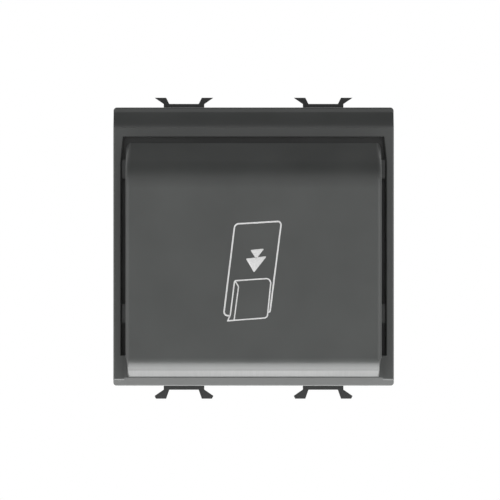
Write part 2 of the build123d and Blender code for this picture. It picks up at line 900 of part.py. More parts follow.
def fixed_rivets():
    """The rivets of the lower and upper fixed contacts."""
    rivets = []
    for contact_z, facing in ((lower_contact_z, -1), (upper_contact_z, 1)):
        seat = contact_z + facing * rivet_head
        end = seat + facing * strip_thickness
        head = (min(contact_z, seat), max(contact_z, seat))
        shank = (min(seat, end), max(seat, end))
        rivet = rod_z(0, contact_y, rivet_radius, head)
        rivet += rod_z(0, contact_y, rivet_shank_radius, shank)
        rivets.append(rivet.solid())
    return Compound(rivets)


def terminal_cage(x):
    """Clamp cage: a square sleeve open above and below, with a bored rear wall."""
    inner = cage_half_width - cage_wall
    body = block(around(x, cage_half_width), (cage_front_y, cage_back_y), both(cage_half_height))
    body -= block(
        around(x, inner),
        (wire_front_y, cage_inner_back_y),
        both(cage_half_height + overrun),
    )
    bore = (cage_inner_back_y - fit_gap, cage_back_y + overrun)
    body -= rod_y(x, 0, screw_radius + pin_gap, bore)
    return body


def terminal_screw(x):
    """Terminal screw along Y, with a cheese head and a slot."""
    body = rod_y(x, 0, screw_radius, (tab_back_y + screw_tip_gap, head_front_y))
    body += rod_y(x, 0, screw_head_radius, (head_front_y, head_back_y))
    slot = (head_back_y - driver_slot_depth, head_back_y + overrun)
    long_way = screw_head_radius + overrun
    body -= block(around(x, driver_slot_width / 2), slot, both(long_way))
    return body


def claw_outline(x, sign, base, bar, end, tip_side):
    """End view of a claw in (X, Z): a neck with two outward horns and a notch between them."""
    half = [
        (claw_neck_half, base),
        (claw_neck_half, bar),
        (claw_tip_half, end - tip_side),
        (claw_tip_half - tip_side / 2, end),
        (claw_notch_top_half, end),
        (claw_notch_half, bar),
    ]
    if tip_side == 0:
        half.pop(3)
    right = [(x + across, sign * up) for across, up in half]
    left = [(x - across, sign * up) for across, up in reversed(half)]
    return polygon(*(right + left))


def claw_ramp(sign, base, end):
    """Side view of a claw in (Y, Z): square catch in front, long ramp behind."""
    back = support_thickness + claw_length
    return polygon(
        (support_thickness, sign * base),
        (support_thickness, sign * end),
        (support_thickness + claw_flat_length, sign * end),
        (back, sign * (base + (end - base) / 4)),
        (back, sign * base),
    )


def claw_hook(x, sign, base, bar, end, tip_side):
    """Solid hook of a claw."""
    outline = claw_outline(x, sign, base, bar, end, tip_side)
    depth = (support_thickness, support_thickness + claw_length)
    width = around(x, claw_tip_half + overrun)
    return along_y(outline, depth) & along_x(claw_ramp(sign, base, end), width)


def upper_claw(x):
    """Rigid claw on top of the housing, with its stem as a locating rib."""
    base = housing_half_height - housing_wall / 2
    stem = block(
        around(x, claw_neck_half),
        (housing_front_y, support_thickness + claw_length),
        (base, upper_claw_stem_top),
    )
    tips = (upper_claw_bar_top, upper_claw_top, upper_claw_tip_side)
    return stem + claw_hook(x, 1, upper_claw_stem_top - housing_wall, *tips)


def release_claw(side):
    """Sprung lower claw: hook, arm along the housing and trunnions at its root."""
    x = side * claw_spread
    half = release_arm_thickness / 2
    arm_z = around(release_axis_z, half)
    body = block(around(x, claw_neck_half), (support_thickness, release_axis_y), arm_z)
    tips = (lower_claw_bar_end, lower_claw_end, lower_claw_tip_side)
    body += claw_hook(x, -1, -release_axis_z - half, *tips)
    body += rod_x(release_axis_y, release_axis_z, trunnion_root_radius, around(x, claw_neck_half))
    reach = claw_neck_half + slide_gap + trunnion_length
    body += rod_x(release_axis_y, release_axis_z, trunnion_radius, around(x, reach))
    return body


def release_channel(margin, width_half, x):
    """Wedge over a release arm that leaves room for its swing, with a margin added."""
    slope = math.tan(math.radians(release_angle))
    front = support_thickness - slide_gap - margin
    lift = release_arm_thickness / 2 / math.cos(math.radians(release_angle)) + slide_gap
    rise = margin / math.cos(math.radians(release_angle))
    front_z = release_axis_z + (release_axis_y - front) * slope + lift + rise
    floor_z = -housing_half_height
    back = release_axis_y - (floor_z - release_axis_z - lift - rise) / slope
    face = polygon((front, floor_z), (front, front_z), (back, floor_z))
    wedge = along_x(face, around(x, width_half))
    return wedge & block(both(half_width), (housing_front_y, housing_back_y), both(half_height))


def release_ears(x):
    """Two bored ears under the housing for the trunnions of a release claw."""
    near = claw_neck_half + slide_gap
    ears = []
    ear_z = (release_axis_z - trunnion_root_radius, -housing_half_height + housing_wall / 2)
    ear_y = (release_axis_y - trunnion_root_radius - ear_wall / 2, housing_back_y)
    for side in (-1, 1):
        ears.append(block(around(x + side * (near + ear_wall / 2), ear_wall / 2), ear_y, ear_z))
    bore = rod_x(
        release_axis_y,
        release_axis_z,
        trunnion_radius + pin_gap,
        around(x, near + ear_wall + overrun),
    )
    return [ear - bore for ear in ears]


def housing_wedges():
    """Wedges on the housing's sides that snap into the windows of the frame's legs."""
    start = leg_window_start + fit_gap * 2
    end = start + wedge_length
    root = housing_half_width - housing_wall / 2
    face = polygon(
        (root, start),
        (housing_half_width, start),
        (housing_half_width + wedge_reach, end),
        (root, end),
    )
    wedge = extrude(Plane.XY.offset(-wedge_height / 2) * face, amount=wedge_height)
    return [wedge, mirror(wedge, Plane.YZ)]


def snap_windows():
    """Windows in the housing's sides for the hooks of the terminal block."""
    start = flange_front_y - snap_leg_length - fit_gap
    depth = (start, start + snap_hook_length + 2 * fit_gap)
    windows = []
    for middle in (-snap_spread, snap_spread):
        height = around(middle, snap_height / 2 + fit_gap)
        windows.append(block((chamber_half_width - overrun, half_width), depth, height))
        windows.append(block((-half_width, overrun - chamber_half_width), depth, height))
    return windows


def cradle_slot(terminal, contact_z, facing):
    """Slot in the cradle wall through which a fixed contact strip passes."""
    top = contact_z + facing * rivet_head
    bottom = top + facing * strip_thickness
    height = (min(top, bottom) - fit_gap, max(top, bottom) + fit_gap)
    sign = math.copysign(1, terminal_places[terminal])
    near, far = sign * (cradle_inner - overrun), sign * (cradle_outer + overrun)
    depth = (strip_front_y - fit_gap, housing_back_y + overrun)
    return block((min(near, far), max(near, far)), depth, height)


def cradle_walls():
    """Two inner walls that carry the bracket and hold the fixed contact strips."""
    height = (-chamber_half_height - housing_wall / 2, pass_height - strip_thickness / 2 - fit_gap)
    depth = (pivot_y - cradle_front_reach, housing_back_y)
    walls = [
        block((cradle_inner, cradle_outer), depth, height),
        block((-cradle_outer, -cradle_inner), depth, height),
    ]
    slots = [
        cradle_slot("nc", lower_contact_z, -1),
        cradle_slot("no", upper_contact_z, 1),
    ]
    return [wall - slots[0] - slots[1] for wall in walls]


def mechanism_housing():
    """Box behind the frame: walls, upper claws, ears, cradle and channels for the arms."""
    span = (housing_front_y, housing_back_y)
    body = rounded_bar(housing_half_width, housing_half_height, housing_corner_radius, span)
    body -= block(
        both(chamber_half_width),
        (housing_front_y - overrun, housing_back_y + overrun),
        both(chamber_half_height),
    )
    for piece in cradle_walls() + housing_wedges():
        body += piece
    rib_low = -cavity_half_height + housing_gap / 2
    rib_y = (housing_front_y, housing_front_y + rib_length)
    for offset in (inner_rib_offset, outer_rib_offset):
        for side in (-1, 1):
            width = around(side * offset, rib_width / 2)
            body += block(width, rib_y, (rib_low, -chamber_half_height))
    stub_base = -chamber_half_height - housing_wall / 2
    stub_z = (stub_base, -chamber_half_height + stub_length)
    body += rod_z(0, spring_axis_y(), stub_radius, stub_z)
    for side in (-1, 1):
        x = side * claw_spread
        body += upper_claw(x)
        body += release_channel(channel_wall, claw_neck_half + slide_gap + channel_wall, x)
        for ear in release_ears(x):
            body += ear
    for side in (-1, 1):
        x = side * claw_spread
        body -= release_channel(0, claw_neck_half + slide_gap, x)
    for window in snap_windows():
        body -= window
    return body


def snap_legs():
    """Legs of the terminal block inside the housing's sides, with hooks for the windows."""
    outer = chamber_half_width - fit_gap
    start = flange_front_y - snap_leg_length
    legs = []
    for middle in (-snap_spread, snap_spread):
        height = (middle - snap_height / 2, middle + snap_height / 2)
        leg = block(
            (outer - snap_leg_thickness, outer),
            (start, flange_back_y),
            height,
        )
        leg += block(
            (outer - snap_leg_thickness, outer + snap_hook_reach),
            (start, start + snap_hook_length),
            height,
        )
        legs += [leg, mirror(leg, Plane.YZ)]
    return legs


def wire_entry(x):
    """Window under a terminal for its wire, with a flared mouth."""
    half = wire_window_width / 2
    middle = wire_front_y + wire_space / 2
    height = (-ridge_half_height - overrun, pocket_bottom_z + fit_gap)
    window = block(around(x, half), around(middle, half), height)
    wide = half + wire_mouth_chamfer
    lower = Plane.XY.offset(-ridge_half_height) * Pos(x, middle) * Rectangle(2 * wide, 2 * wide)
    upper_z = -ridge_half_height + wire_mouth_chamfer
    upper = Plane.XY.offset(upper_z) * Pos(x, middle) * Rectangle(2 * half, 2 * half)
    return window + loft([lower.face(), upper.face()])


def terminal_block():
    """Rear cover: flange on the housing and a ridge with three pockets and screw wells."""
    flange = (flange_front_y, flange_back_y)
    body = rounded_bar(housing_half_width, housing_half_height, housing_corner_radius, flange)
    ridge = (flange_front_y, block_back_y)
    body += rounded_bar(ridge_half_width, ridge_half_height, ridge_corner_radius, ridge)
    for leg in snap_legs():
        body += leg
    for x in terminal_places.values():
        body -= block(
            around(x, pocket_half_width),
            (flange_front_y - overrun, ledge_front_y),
            (pocket_bottom_z, pocket_top_z),
        )
        ledge = (ledge_front_y - overrun, ledge_back_y + overrun)
        body -= rod_y(x, 0, screw_radius + slide_gap, ledge)
        body -= rod_y(x, 0, well_radius, (ledge_back_y, block_back_y + overrun))
        body -= wire_entry(x)
    return body


pieces = {
    "front_frame": front_frame,
    "card_hood": card_hood,
    "hood_screws": hood_screws,
    "card_pusher": card_pusher,
    "slider_carriage": slider_carriage,
    "return_spring": return_spring,
    "contact_rocker": contact_rocker,
    "rocker_pin": rocker_pin,
    "moving_contact": moving_contact,
    "moving_rivet": moving_rivet,
    "common_bracket": common_bracket,
    "contact_strip_nc": contact_strip_nc,
    "contact_strip_no": contact_strip_no,
    "fixed_rivets": fixed_rivets,
    "mechanism_housing": mechanism_housing,
    "terminal_block": terminal_block,
}

os.makedirs("parts", exist_ok=True)
for name, make in pieces.items():
    export_step(make(), f"parts/{name}.step")
for side, word in ((-1, "left"), (1, "right")):
    export_step(grip_spring(side), f"parts/grip_spring_{word}.step")
    export_step(release_claw(side), f"parts/release_claw_{word}.step")
for name, x in terminal_places.items():
    export_step(terminal_cage(x), f"parts/terminal_cage_{name}.step")
    export_step(terminal_screw(x), f"parts/terminal_screw_{name}.step")
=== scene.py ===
"""Hotel key card switch, two modules wide: its looks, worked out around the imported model.

The frame and the hood are satin black, and the box behind them is matt black, with brass and
steel inside. Lengths are in millimetres until a mesh is made, and in metres after that.
"""
import json
import logging
import math
from collections.abc import Sequence
from dataclasses import dataclass
from enum import Enum

import bmesh
import bpy
import numpy as np
from bpy.types import Material, Mesh, Node, NodeSocket, NodeTree, Object
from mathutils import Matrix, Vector

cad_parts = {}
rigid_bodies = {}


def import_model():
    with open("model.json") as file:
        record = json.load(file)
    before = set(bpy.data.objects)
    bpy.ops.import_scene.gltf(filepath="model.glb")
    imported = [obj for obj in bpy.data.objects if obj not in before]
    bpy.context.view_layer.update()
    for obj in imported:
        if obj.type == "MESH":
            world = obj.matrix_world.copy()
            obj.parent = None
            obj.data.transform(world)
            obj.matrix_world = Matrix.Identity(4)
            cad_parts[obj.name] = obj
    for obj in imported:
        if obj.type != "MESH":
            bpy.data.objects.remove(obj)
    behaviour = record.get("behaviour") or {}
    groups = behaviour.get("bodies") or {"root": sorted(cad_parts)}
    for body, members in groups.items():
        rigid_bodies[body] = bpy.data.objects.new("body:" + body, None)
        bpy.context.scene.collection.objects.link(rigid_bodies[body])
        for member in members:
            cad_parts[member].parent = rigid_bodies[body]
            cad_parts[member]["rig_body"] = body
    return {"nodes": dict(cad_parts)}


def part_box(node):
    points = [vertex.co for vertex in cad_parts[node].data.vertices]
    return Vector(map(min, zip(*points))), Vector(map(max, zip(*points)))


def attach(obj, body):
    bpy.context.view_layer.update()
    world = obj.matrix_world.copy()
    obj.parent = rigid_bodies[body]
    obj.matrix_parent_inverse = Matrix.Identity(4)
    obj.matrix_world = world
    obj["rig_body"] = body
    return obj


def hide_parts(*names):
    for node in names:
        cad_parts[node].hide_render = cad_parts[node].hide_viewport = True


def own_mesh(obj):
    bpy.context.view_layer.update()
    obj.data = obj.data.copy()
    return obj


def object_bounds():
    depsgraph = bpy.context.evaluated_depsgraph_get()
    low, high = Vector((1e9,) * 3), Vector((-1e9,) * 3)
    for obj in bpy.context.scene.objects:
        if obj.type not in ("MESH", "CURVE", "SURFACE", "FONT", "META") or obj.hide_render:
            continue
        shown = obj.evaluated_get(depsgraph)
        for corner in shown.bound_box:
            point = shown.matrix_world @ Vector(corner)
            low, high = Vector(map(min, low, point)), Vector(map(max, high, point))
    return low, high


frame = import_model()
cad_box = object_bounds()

log = logging.getLogger("key_card_switch")

MM = 0.001
# Points nearer than this are one: SEAM closes a new surface, WELD joins a CAD node's triangles.
SEAM = 1e-7
WELD = 1e-6
FLAT_ANGLE = math.radians(0.4)
CREASE_ANGLE = math.radians(35.0)
# Faces across the round of an eased edge.
EDGE_STEPS = 2
# Degrees from one point of an arc to the next, on open lines and on the section of a strip.
ARC_STEP = 9.0
SECTION_STEP = 22.5
# The range in which nearly all values of the noise lie.
NOISE_LOW, NOISE_HIGH = 0.3, 0.7
# Places of the Mix node's sockets, which have the same names for numbers as for colours.
NUMBER_A, NUMBER_B = 2, 3
COLOUR_A, COLOUR_B, MIXED_COLOUR = 6, 7, 2
WHITE = "#FFFFFF"
X_AXIS, Y_AXIS, Z_AXIS = np.eye(3)

Array = np.ndarray
Corners = tuple[tuple[float, float], ...]
Setting = float | int | str | bool | tuple[float, ...] | NodeSocket
Inputs = dict[str | int, Setting]


class Slot(Enum):
    """Material slots of the record."""

    SATIN_PLASTIC = "satin_plastic"
    HOUSING_PLASTIC = "housing_plastic"
    ACETAL = "acetal"
    ROCKER_PLASTIC = "rocker_plastic"
    BRASS = "brass"
    CONTACT_SILVER = "contact_silver"
    SPRING_STEEL = "spring_steel"
    PIN_STEEL = "pin_steel"
    ZINC_STEEL = "zinc_steel"


@dataclass
class Patch:
    """A stretch of surface: its points in millimetres and its four-sided faces."""

    points: Array
    faces: Array


def grid_patch(points: Array, close_rows: bool = False, close_columns: bool = False) -> Patch:
    """Makes a surface over a grid of points.

    The face at (i, j) joins the points (i, j), (i, j + 1), (i + 1, j + 1) and (i + 1, j),
    and a closed way joins its last line to its first.

    Args:
        points: Grid of points, rows by columns by 3.
        close_rows: Whether the last row joins the first.
        close_columns: Whether the last column joins the first.

    Returns:
        The patch.
    """
    rows, columns = points.shape[:2]
    row = np.arange(rows if close_rows else rows - 1)
    column = np.arange(columns if close_columns else columns - 1)
    i, j = np.meshgrid(row, column, indexing="ij")
    next_j = (j + 1) % columns
    here, below = i * columns, (i + 1) % rows * columns
    corners = [here + j, here + next_j, below + next_j, below + j]
    return Patch(points.reshape(-1, 3), np.stack(corners, axis=-1).reshape(-1, 4))


def carry(profile: Array, path: Array, side: Array, up: Array, closed: bool = False) -> Patch:
    """Carries a closed profile along a path.

    Point (i, j) is path i, plus profile j's first number along side i, plus its second
    number along up i. Open ends are closed by a row that shrinks to the profile's middle.

    Args:
        profile: Outline of the section, as pairs across and up.
        path: Points of the path.
        side: Direction across the path at each point.
        up: Direction upwards at each point.
        closed: Whether the path runs round to its start.

    Returns:
        The swept surface.
    """
    across, upward = profile[None, :, :1], profile[None, :, 1:]
    rows = path[:, None] + across * side[:, None] + upward * up[:, None]
    if not closed:
        middles = np.broadcast_to(rows.mean(axis=1, keepdims=True), rows.shape)
        rows = np.concatenate([middles[:1], rows, middles[-1:]])
    return grid_patch(rows, close_rows=closed, close_columns=True)


def revolve(
    profile: Array, centre: Array, axis: Array, sides: int, wave: Array | None = None
) -> Patch:
    """Turns a profile about an axis.

    Point (i, j) is the centre, plus profile i's height along the axis, plus its radius
    in the direction of angle j. A wave, rows by sides, is added to the radii. The first
    direction is the axis with its numbers moved on by one place, so the discs are square
    to an axis along X, Y or Z and lean a little about a tilted one.

    Args:
        profile: Pairs of radius and height, from pole to pole.
        centre: Where height 0 lies.
        axis: Unit direction of the heights.
        sides: Number of steps round the axis.
        wave: Change of each point's radius, or None.

    Returns:
        The turned surface.
    """
    angle = np.arange(sides) * 2 * math.pi / sides
    first = np.roll(axis, 1)
    second = np.cross(axis, first)
    spoke = np.cos(angle)[:, None] * first + np.sin(angle)[:, None] * second
    radius = profile[:, :1] + (0 if wave is None else wave) + np.zeros(sides)
    points = centre + profile[:, None, 1:] * axis + radius[..., None] * spoke
    return grid_patch(points, close_columns=True)


def rounded_path(
    corners: Array, radii: Sequence[float], closed: bool = False, step: float = ARC_STEP
) -> Array:
    """Rounds the corners of a bent line.

    At a corner of radius r and turn t the arc starts r times tan(t / 2) before the corner,
    and its centre lies r / cos(t / 2) from the corner, halfway between the two runs.

    Args:
        corners: Corner points, as pairs.
        radii: Radius at each corner, 0 for a sharp one or an end.
        closed: Whether the line runs round to its start.
        step: Degrees from one point of an arc to the next.

    Returns:
        The points of the rounded line.
    """
    found = []
    for place, (corner, radius) in enumerate(zip(corners, radii)):
        if radius == 0 or (not closed and place in (0, len(corners) - 1)):
            found.append(corner[None])
            continue
        back = corners[place - 1] - corner
        onward = corners[(place + 1) % len(corners)] - corner
        back, onward = back / np.linalg.norm(back), onward / np.linalg.norm(onward)
        turn = math.pi - math.acos(float(np.clip(back @ onward, -1, 1)))
        bisector = (back + onward) / np.linalg.norm(back + onward)
        centre = corner + bisector * radius / math.cos(turn / 2)
        start = corner + back * radius * math.tan(turn / 2) - centre
        end = corner + onward * radius * math.tan(turn / 2) - centre
        count = max(2, math.ceil(math.degrees(turn) / step))
        swept = np.linspace(0, turn, count + 1)[:, None]
        found.append(centre + (np.sin(turn - swept) * start + np.sin(swept) * end) / math.sin(turn))
    return np.concatenate(found)


def path_sides(path: Array, closed: bool) -> Array:
    """Works out the mitred direction across a flat path at each point.

    It is the mean of the two neighbouring runs' normals, over the cosine of half the turn,
    so that a band carried along it keeps its width at corners.

    Args:
        path: Points of the line, as pairs.
        closed: Whether the line runs round to its start.

    Returns:
        One pair for each point.
    """
    runs = np.roll(path, -1, axis=0) - path
    if not closed:
        runs[-1] = runs[-2]
    runs /= np.linalg.norm(runs, axis=1, keepdims=True)
    before = np.roll(runs, 1, axis=0)
    if not closed:
        before[0] = runs[0]
    mean = before + runs
    mean /= np.linalg.norm(mean, axis=1, keepdims=True)
    stretch = np.sum(mean * runs, axis=1, keepdims=True)
    return np.stack([-mean[:, 1], mean[:, 0]], axis=1) / stretch


def rounded_rectangle(half_across: float, half_up: float, radius: float) -> Array:
    """Gives the outline of a rectangle with rounded corners, as pairs about its middle."""
    corners = np.array([[1, 1], [-1, 1], [-1, -1], [1, -1]]) * (half_across, half_up)
    return rounded_path(corners, [radius] * 4, closed=True, step=SECTION_STEP)


def finish_mesh(mesh: Mesh) -> None:
    """Closes a mesh's seams and poles, turns its faces outwards and shades it smooth to creases.

    Args:
        mesh: The mesh, which is changed in place.
    """
    work = bmesh.new()
    work.from_mesh(mesh)
    bmesh.ops.remove_doubles(work, verts=work.verts, dist=SEAM)
    bmesh.ops.recalc_face_normals(work, faces=work.faces)
    work.to_mesh(mesh)
    work.free()
    mesh.shade_smooth()
    mesh.set_sharp_from_angle(angle=CREASE_ANGLE)


def make_piece(name: str, patches: Sequence[Patch]) -> Object:
    """Makes one object of several patches.

    Args:
        name: Name of the piece.
        patches: Its surfaces, in millimetres in the shared frame.

    Returns:
        The object, at the origin, with its place in its mesh.
    """
    starts = np.cumsum([0] + [len(patch.points) for patch in patches[:-1]])
    points = np.concatenate([patch.points for patch in patches]) * MM
    faces = np.concatenate([patch.faces + start for patch, start in zip(patches, starts)])
    mesh = bpy.data.meshes.new(name)
    mesh.vertices.add(len(points))
    mesh.vertices.foreach_set("co", points.ravel())
    mesh.loops.add(faces.size)
    mesh.loops.foreach_set("vertex_index", faces.ravel())
    mesh.polygons.add(len(faces))
    mesh.polygons.foreach_set("loop_start", np.arange(len(faces)) * faces.shape[1])
    mesh.update(calc_edges=True)
    finish_mesh(mesh)
    piece = bpy.data.objects.new(name, mesh)
    bpy.context.scene.collection.objects.link(piece)
    return piece


def corners_of(node: str) -> tuple[Array, Array]:
    """Gives a CAD node's lowest and highest corner in millimetres."""
    low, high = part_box(node)
    return np.array(low) / MM, np.array(high) / MM


def linear(colour: str) -> tuple[float, float, float, float]:
    """Turns an sRGB colour into linear values.

    A share s up to 0.04045 is divided by 12.92, and a larger one is ((s + 0.055) / 1.055)^2.4.

    Args:
        colour: The colour as # and six hex digits.

    Returns:
        Linear red, green and blue, and full opacity.
    """
    shares = [int(colour[at : at + 2], 16) / 255 for at in (1, 3, 5)]
    values = [s / 12.92 if s <= 0.04045 else ((s + 0.055) / 1.055) ** 2.4 for s in shares]
    return (values[0], values[1], values[2], 1.0)


def per_metre(size: float) -> float:
    """Gives the texture scale, in repeats per metre, of a pattern of a size in millimetres."""
    return 1 / (size * MM)


def add_node(tree: NodeTree, kind: str, inputs: Inputs, **settings: Setting) -> Node:
    """Adds a shader node.

    Args:
        tree: Node tree that gets it.
        kind: The node's type.
        inputs: Values for its inputs by name or place; a socket is linked, any other value set.
        settings: The node's own properties.

    Returns:
        The node.
    """
    node = tree.nodes.new(kind)
    for key, value in settings.items():
        setattr(node, key, value)
    for key, value in inputs.items():
        if isinstance(value, NodeSocket):
            tree.links.new(value, node.inputs[key])
        else:
            node.inputs[key].default_value = value
    return node


def new_tree(name: str) -> tuple[Material, NodeTree]:
    """Makes an empty material with nodes.

    Args:
        name: Name of the material.

    Returns:
        The material and its node tree.
    """
    material = bpy.data.materials.new(name)
    material.use_nodes = True
    material.node_tree.nodes.clear()
    return material, material.node_tree


def noise(tree: NodeTree, size: Sequence[float], detail: float) -> NodeSocket:
    """Adds noise in the object's own coordinates.

    Args:
        tree: Node tree that gets it.
        size: Size of the pattern in millimetres along X, Y and Z.
        detail: Octaves of finer noise on top.

    Returns:
        The noise's value, about 0.5.
    """
    place = add_node(tree, "ShaderNodeTexCoord", {})
    scaling: Inputs = {
        "Vector": place.outputs["Object"],
        "Scale": tuple(per_metre(length) for length in size),
    }
    mapped = add_node(tree, "ShaderNodeMapping", scaling)
    pattern: Inputs = {"Vector": mapped.outputs[0], "Scale": 1.0, "Detail": detail}
    return add_node(tree, "ShaderNodeTexNoise", pattern).outputs["Fac"]


def spread(tree: NodeTree, value: NodeSocket, low: float, high: float) -> NodeSocket:
    """Maps the noise's usual range onto a range from low to high.

    Args:
        tree: Node tree that gets the node.
        value: The noise.
        low: What its usual lowest value becomes.
        high: What its usual highest value becomes.

    Returns:
        The mapped value.
    """
    ends: Inputs = {
        "Value": value,
        "From Min": NOISE_LOW,
        "From Max": NOISE_HIGH,
        "To Min": low,
        "To Max": high,
    }
    return add_node(tree, "ShaderNodeMapRange", ends).outputs["Result"]


def shaded(tree: NodeTree, value: NodeSocket, first: str, second: str) -> NodeSocket:
    """Blends two colours by the noise's usual range.

    Args:
        tree: Node tree that gets the nodes.
        value: The noise.
        first: Hex colour where the noise is low.
        second: Hex colour where the noise is high.

    Returns:
        The blended colour.
    """
    ends: Inputs = {
        0: spread(tree, value, 0.0, 1.0),
        COLOUR_A: linear(first),
        COLOUR_B: linear(second),
    }
    return add_node(tree, "ShaderNodeMix", ends, data_type="RGBA").outputs[MIXED_COLOUR]


def rough_skin(tree: NodeTree, height: NodeSocket, depth: float) -> NodeSocket:
    """Makes a fine relief of a pattern.

    Args:
        tree: Node tree that gets the node.
        height: The pattern.
        depth: Depth of the relief in millimetres.

    Returns:
        The normal of the relief.
    """
    relief: Inputs = {"Height": height, "Distance": depth * MM, "Strength": 1.0}
    return add_node(tree, "ShaderNodeBump", relief).outputs["Normal"]


def surface_of(tree: NodeTree, inputs: Inputs) -> None:
    """Ends a material's tree with its surface.

    Args:
        tree: Node tree that gets the nodes.
        inputs: What the surface's shader gets.
    """
    shader = add_node(tree, "ShaderNodeBsdfPrincipled", inputs)
    add_node(tree, "ShaderNodeOutputMaterial", {"Surface": shader.outputs[0]})


@dataclass(frozen=True)
class MouldedPlastic:
    """Injection-moulded plastic, an even skin with the grain of a spark-eroded tool.

    The eye sees a broad soft gloss broken by the grain, faint flow clouds from the gate,
    and a few fine rubs that are a little glossier than the rest. Sizes and depths of patterns
    are in millimetres. The rubs are drawn 0.25 mm wide, because real ones of a few hundredths
    are too fine to show.
    """

    name: str
    dark: str
    light: str
    ior: float
    roughness: float
    roughness_drift: float
    grain: float
    grain_depth: float
    slot: Slot
    cloud: float = 9.0
    cloud_detail: float = 3.0
    rub_width: float = 0.25
    rub_length: float = 9.0
    fine_detail: float = 2.0
    translucency: float = 0.0
    light_depth: float = 0.5

    def material(self) -> Material:
        """Builds the material.

        Returns:
            The material.
        """
        material, tree = new_tree(self.name)
        drift = self.roughness_drift
        clouds = noise(tree, (self.cloud,) * 3, self.cloud_detail)
        rubs = noise(tree, (self.rub_width, self.rub_length, self.rub_length), self.fine_detail)
        grain = noise(tree, (self.grain,) * 3, self.fine_detail)
        wide = spread(tree, clouds, -drift, drift)
        narrow = spread(tree, rubs, -drift / 2, drift / 2)
        both = add_node(tree, "ShaderNodeMath", {0: wide, 1: narrow}, operation="ADD")
        base: Inputs = {0: both.outputs[0], 1: self.roughness}
        rough = add_node(tree, "ShaderNodeMath", base, operation="ADD")
        surface_of(
            tree,
            {
                "Base Color": shaded(tree, clouds, self.dark, self.light),
                "Roughness": rough.outputs[0],
                "IOR": self.ior,
                "Subsurface Weight": self.translucency,
                "Subsurface Scale": self.light_depth * MM,
                "Normal": rough_skin(tree, grain, self.grain_depth),
            },
        )
        return material


@dataclass(frozen=True)
class WorkedMetal:
    """Rolled, drawn, turned or plated metal.

    The eye sees a metal's own colour, streaks along the way in which it was worked,
    and patches where the skin has dulled or tarnished a little. Sizes and depths of patterns
    are in millimetres. The real marks are a few hundredths of a millimetre wide, too fine to
    show, so the streaks are drawn 0.06 to 0.3 mm wide.
    """

    name: str
    bright: str
    dull: str
    roughness: float
    roughness_drift: float
    streak: tuple[float, float, float]
    streak_depth: float
    slot: Slot
    patch: float = 2.5
    patch_detail: float = 4.0
    streak_detail: float = 2.0

    def material(self) -> Material:
        """Builds the material.

        Returns:
            The material.
        """
        material, tree = new_tree(self.name)
        patches = noise(tree, (self.patch,) * 3, self.patch_detail)
        streaks = noise(tree, self.streak, self.streak_detail)
        low, high = self.roughness - self.roughness_drift, self.roughness + self.roughness_drift
        surface_of(
            tree,
            {
                "Base Color": shaded(tree, patches, self.bright, self.dull),
                "Metallic": 1.0,
                "Roughness": spread(tree, streaks, low, high),
                "Normal": rough_skin(tree, streaks, self.streak_depth),
            },
        )
        return material


@dataclass(frozen=True)
class PrintedInk:
    """Pad-printed two-part ink: an opaque light grey film, a little thin in places.

    The thin places come from the printing plate's fine screen. They are drawn 0.25 mm wide,
    because the real 0.1 mm is too fine to show.
    """

    name: str = "pad_print_ink"
    thin: str = "#BEBEBE"
    full: str = "#D0D0D0"
    roughness: float = 0.5
    roughness_drift: float = 0.06
    speck: float = 0.25
    speck_detail: float = 2.0

    def material(self) -> Material:
        """Builds the material.

        Returns:
            The material.
        """
        material, tree = new_tree(self.name)
        specks = noise(tree, (self.speck,) * 3, self.speck_detail)
        low, high = self.roughness - self.roughness_drift, self.roughness + self.roughness_drift
        surface_of(
            tree,
            {
                "Base Color": shaded(tree, specks, self.thin, self.full),
                "Roughness": spread(tree, specks, low, high),
            },
        )
        return material


Finish = MouldedPlastic | WorkedMetal | PrintedInk


# Satin polycarbonate of the front: an even satin gloss. Its grain is drawn at 0.3 mm, because the
# real 0.05 mm is too fine to show.
SATIN_POLYCARBONATE = MouldedPlastic(
    name="satin_polycarbonate",
    dark="#343635",
    light="#3B3D3C",
    ior=1.58,
    roughness=0.36,
    roughness_drift=0.035,
    grain=0.3,
    grain_depth=0.0012,
    slot=Slot.SATIN_PLASTIC,
)
# Glass-filled polyamide of the box: matt and a little cloudy. Its grain is drawn at 0.35 mm for the
# same reason.
GLASS_FILLED_POLYAMIDE = MouldedPlastic(
    name="glass_filled_polyamide",
    dark="#242525",
    light="#2C2D2D",
    ior=1.53,
    roughness=0.55,
    roughness_drift=0.07,
    grain=0.35,
    grain_depth=0.004,
    slot=Slot.HOUSING_PLASTIC,
)
# Dark acetal of the sliding pieces: smooth, with the waxy gloss of a low-friction plastic. Its
# grain is drawn at 0.5 mm for the same reason.
DARK_ACETAL = MouldedPlastic(
    name="dark_acetal",
    dark="#5A5A5A",
    light="#646463",
    ior=1.48,
    roughness=0.42,
    roughness_drift=0.05,
    grain=0.5,
    grain_depth=0.001,
    slot=Slot.ACETAL,
)
# Natural polyester of the rocker: off-white, and light goes a little way into it. Its grain is
# drawn at 0.4 mm for the same reason.
NATURAL_POLYESTER = MouldedPlastic(
    name="natural_polyester",
    dark="#DAD7CC",
    light="#E6E3DA",
    ior=1.57,
    roughness=0.42,
    roughness_drift=0.05,
    grain=0.4,
    grain_depth=0.0015,
    slot=Slot.ROCKER_PLASTIC,
    translucency=0.15,
)
# Half-hard brass strip: rolled along Y, warm yellow with browner patches.
ROLLED_BRASS = WorkedMetal(
    name="rolled_brass",
    bright="#E0BE70",
    dull="#C59A4B",
    roughness=0.27,
    roughness_drift=0.08,
    streak=(0.12, 3.0, 0.12),
    streak_depth=0.0015,
    slot=Slot.BRASS,
)
